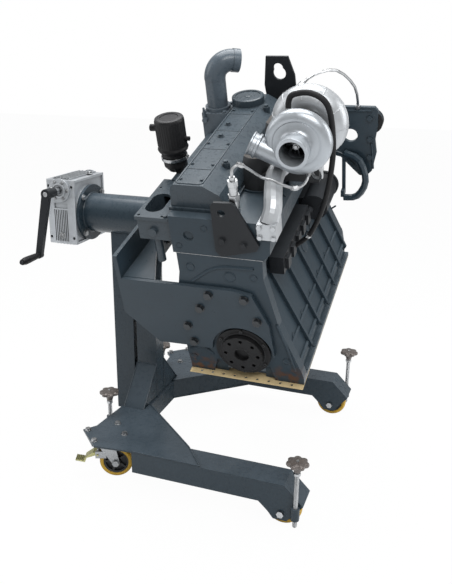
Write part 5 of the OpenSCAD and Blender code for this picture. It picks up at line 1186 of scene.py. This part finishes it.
def gasket_bead():
    """The raised sealing line under the pan gasket, and rings round the holes of its lip."""
    tool = bmesh.new()
    z = -121.3
    loop = [(-190, 12, z), (190, 12, z), (190, 778, z), (-190, 778, z), (-190, 12, z)]
    engine_run(tool, loop, 1.4)
    for i in range(-4, 5):
        x = i * 40.6
        lathe(tool, mm((5.3, -3.4), (8.4, -3.4), (8.4, 0.5), (5.3, 0.5)), 24, spot(x, -8.8, -118, UP))
    dress("gasket_bead", tool, "gasket_fibre", 50)


def pedal_details(side_name):
    along = Vector((math.cos(CASTER_TURN), math.sin(CASTER_TURN), 0))
    across = FORK_AXIS
    up = Vector((0, 0, 1))
    hub = box_of(side_name + "_left_wheel")[2]
    pivot = Vector((hub.x, hub.y, 0)) - along * 34 * MM
    tool = bmesh.new()
    for k in range(4):
        reach = (114 - 7 * k) * MM
        height = (73.8 - 1.2 * k) * MM
        middle = pivot - along * reach + Vector((0, 0, height))
        sweep(tool, [middle - across * 17 * MM, middle + across * 17 * MM], 1.3 * MM, 8)
    dress(side_name + "_pedal_ridges", tool, "zinc_yellow", 50, side_name + "_pedal")
    spring = bmesh.new()
    coil = []
    for i in range(97):
        t = i / 96
        angle = TAU * 6 * t
        place = pivot - along * 32 * MM + up * 96 * MM + across * ((t - 0.5) * 20 * MM)
        coil.append(place + (along * math.cos(angle) + up * math.sin(angle)) * 8.6 * MM)
    sweep(spring, coil, 1.1 * MM, 6)
    dress(side_name + "_pedal_spring", spring, "zinc_bolts", 60, side_name + "_caster")


cover_trim()
block_castings()
head_joint()
seal_screws()
turbo_details()
line_fittings()
manifold_details()
canister_trim()
gearbox_details()
crank_details()
stand_welds()
bracket_welds()
front_plate_details()
timing_details()
gasket_bead()
for side_name in SIDES:
    pedal_details(side_name)


# Stage, light and background

STAGE_WHITE = (0.86, 0.87, 0.88)


def stage_material():
    s = Shader("stage")
    path = s.add("ShaderNodeLightPath")
    seen = s.math("MAXIMUM", path.outputs["Is Camera Ray"], path.outputs["Is Transmission Ray"])
    fill(s.bsdf, {"Base Color": (*STAGE_WHITE, 1), "Roughness": 0.9})
    glow = s.add("ShaderNodeEmission")
    glow.inputs["Strength"].default_value = 1
    blend = s.add("ShaderNodeMixShader")
    s.link(s.math("MULTIPLY", seen, 0.97), blend.inputs["Fac"])
    s.link(s.bsdf.outputs["BSDF"], blend.inputs[1])
    s.link(glow.outputs["Emission"], blend.inputs[2])
    s.link(blend.outputs["Shader"], s.tree.nodes["Material Output"].inputs["Surface"])
    return s.material


def make_floor():
    tool = bmesh.new()
    reach = 14
    corners = [
        tool.verts.new((x, y, 0))
        for x, y in ((-reach, -reach), (reach, -reach), (reach, reach), (-reach, reach))
    ]
    tool.faces.new(corners)
    mesh = bpy.data.meshes.new("floor")
    tool.to_mesh(mesh)
    tool.free()
    mesh.materials.append(stage_material())
    floor = bpy.data.objects.new("floor", mesh)
    bpy.context.scene.collection.objects.link(floor)


def make_light(name, place, target, size, power):
    data = bpy.data.lights.new(name, "AREA")
    data.shape = "RECTANGLE"
    data.size, data.size_y = size
    data.energy = power
    lamp = bpy.data.objects.new(name, data)
    bpy.context.scene.collection.objects.link(lamp)
    direction = Vector(place) - Vector(target)
    lamp.matrix_world = Matrix.Translation(place) @ direction.to_track_quat("Z", "Y").to_matrix().to_4x4()


def make_world():
    world = bpy.data.worlds.new("world")
    bpy.context.scene.world = world
    world.use_nodes = True
    tree = world.node_tree
    background = tree.nodes["Background"]
    path = tree.nodes.new("ShaderNodeLightPath")
    seen = tree.nodes.new("ShaderNodeMath")
    seen.operation = "MAXIMUM"
    tree.links.new(path.outputs["Is Camera Ray"], seen.inputs[0])
    tree.links.new(path.outputs["Is Transmission Ray"], seen.inputs[1])
    strength = tree.nodes.new("ShaderNodeMapRange")
    fill(strength, {"To Min": 0.34, "To Max": 1.0})
    tree.links.new(seen.outputs["Value"], strength.inputs["Value"])
    background.inputs["Color"].default_value = (1, 1, 1, 1)
    tree.links.new(strength.outputs["Result"], background.inputs["Strength"])


make_floor()
make_world()
MIDDLE = (0.0, 0.0, 0.9)
make_light("key", (1.6, -2.6, 3.4), MIDDLE, (2.2, 1.6), 80)
make_light("left", (-3.0, -1.2, 2.2), MIDDLE, (1.8, 2.4), 26)
make_light("top", (-0.2, 0.4, 3.8), MIDDLE, (2.6, 2.6), 105)
make_light("right", (3.2, 0.8, 1.8), MIDDLE, (1.6, 2.4), 40)
bpy.context.scene.view_settings.view_transform = "Standard"
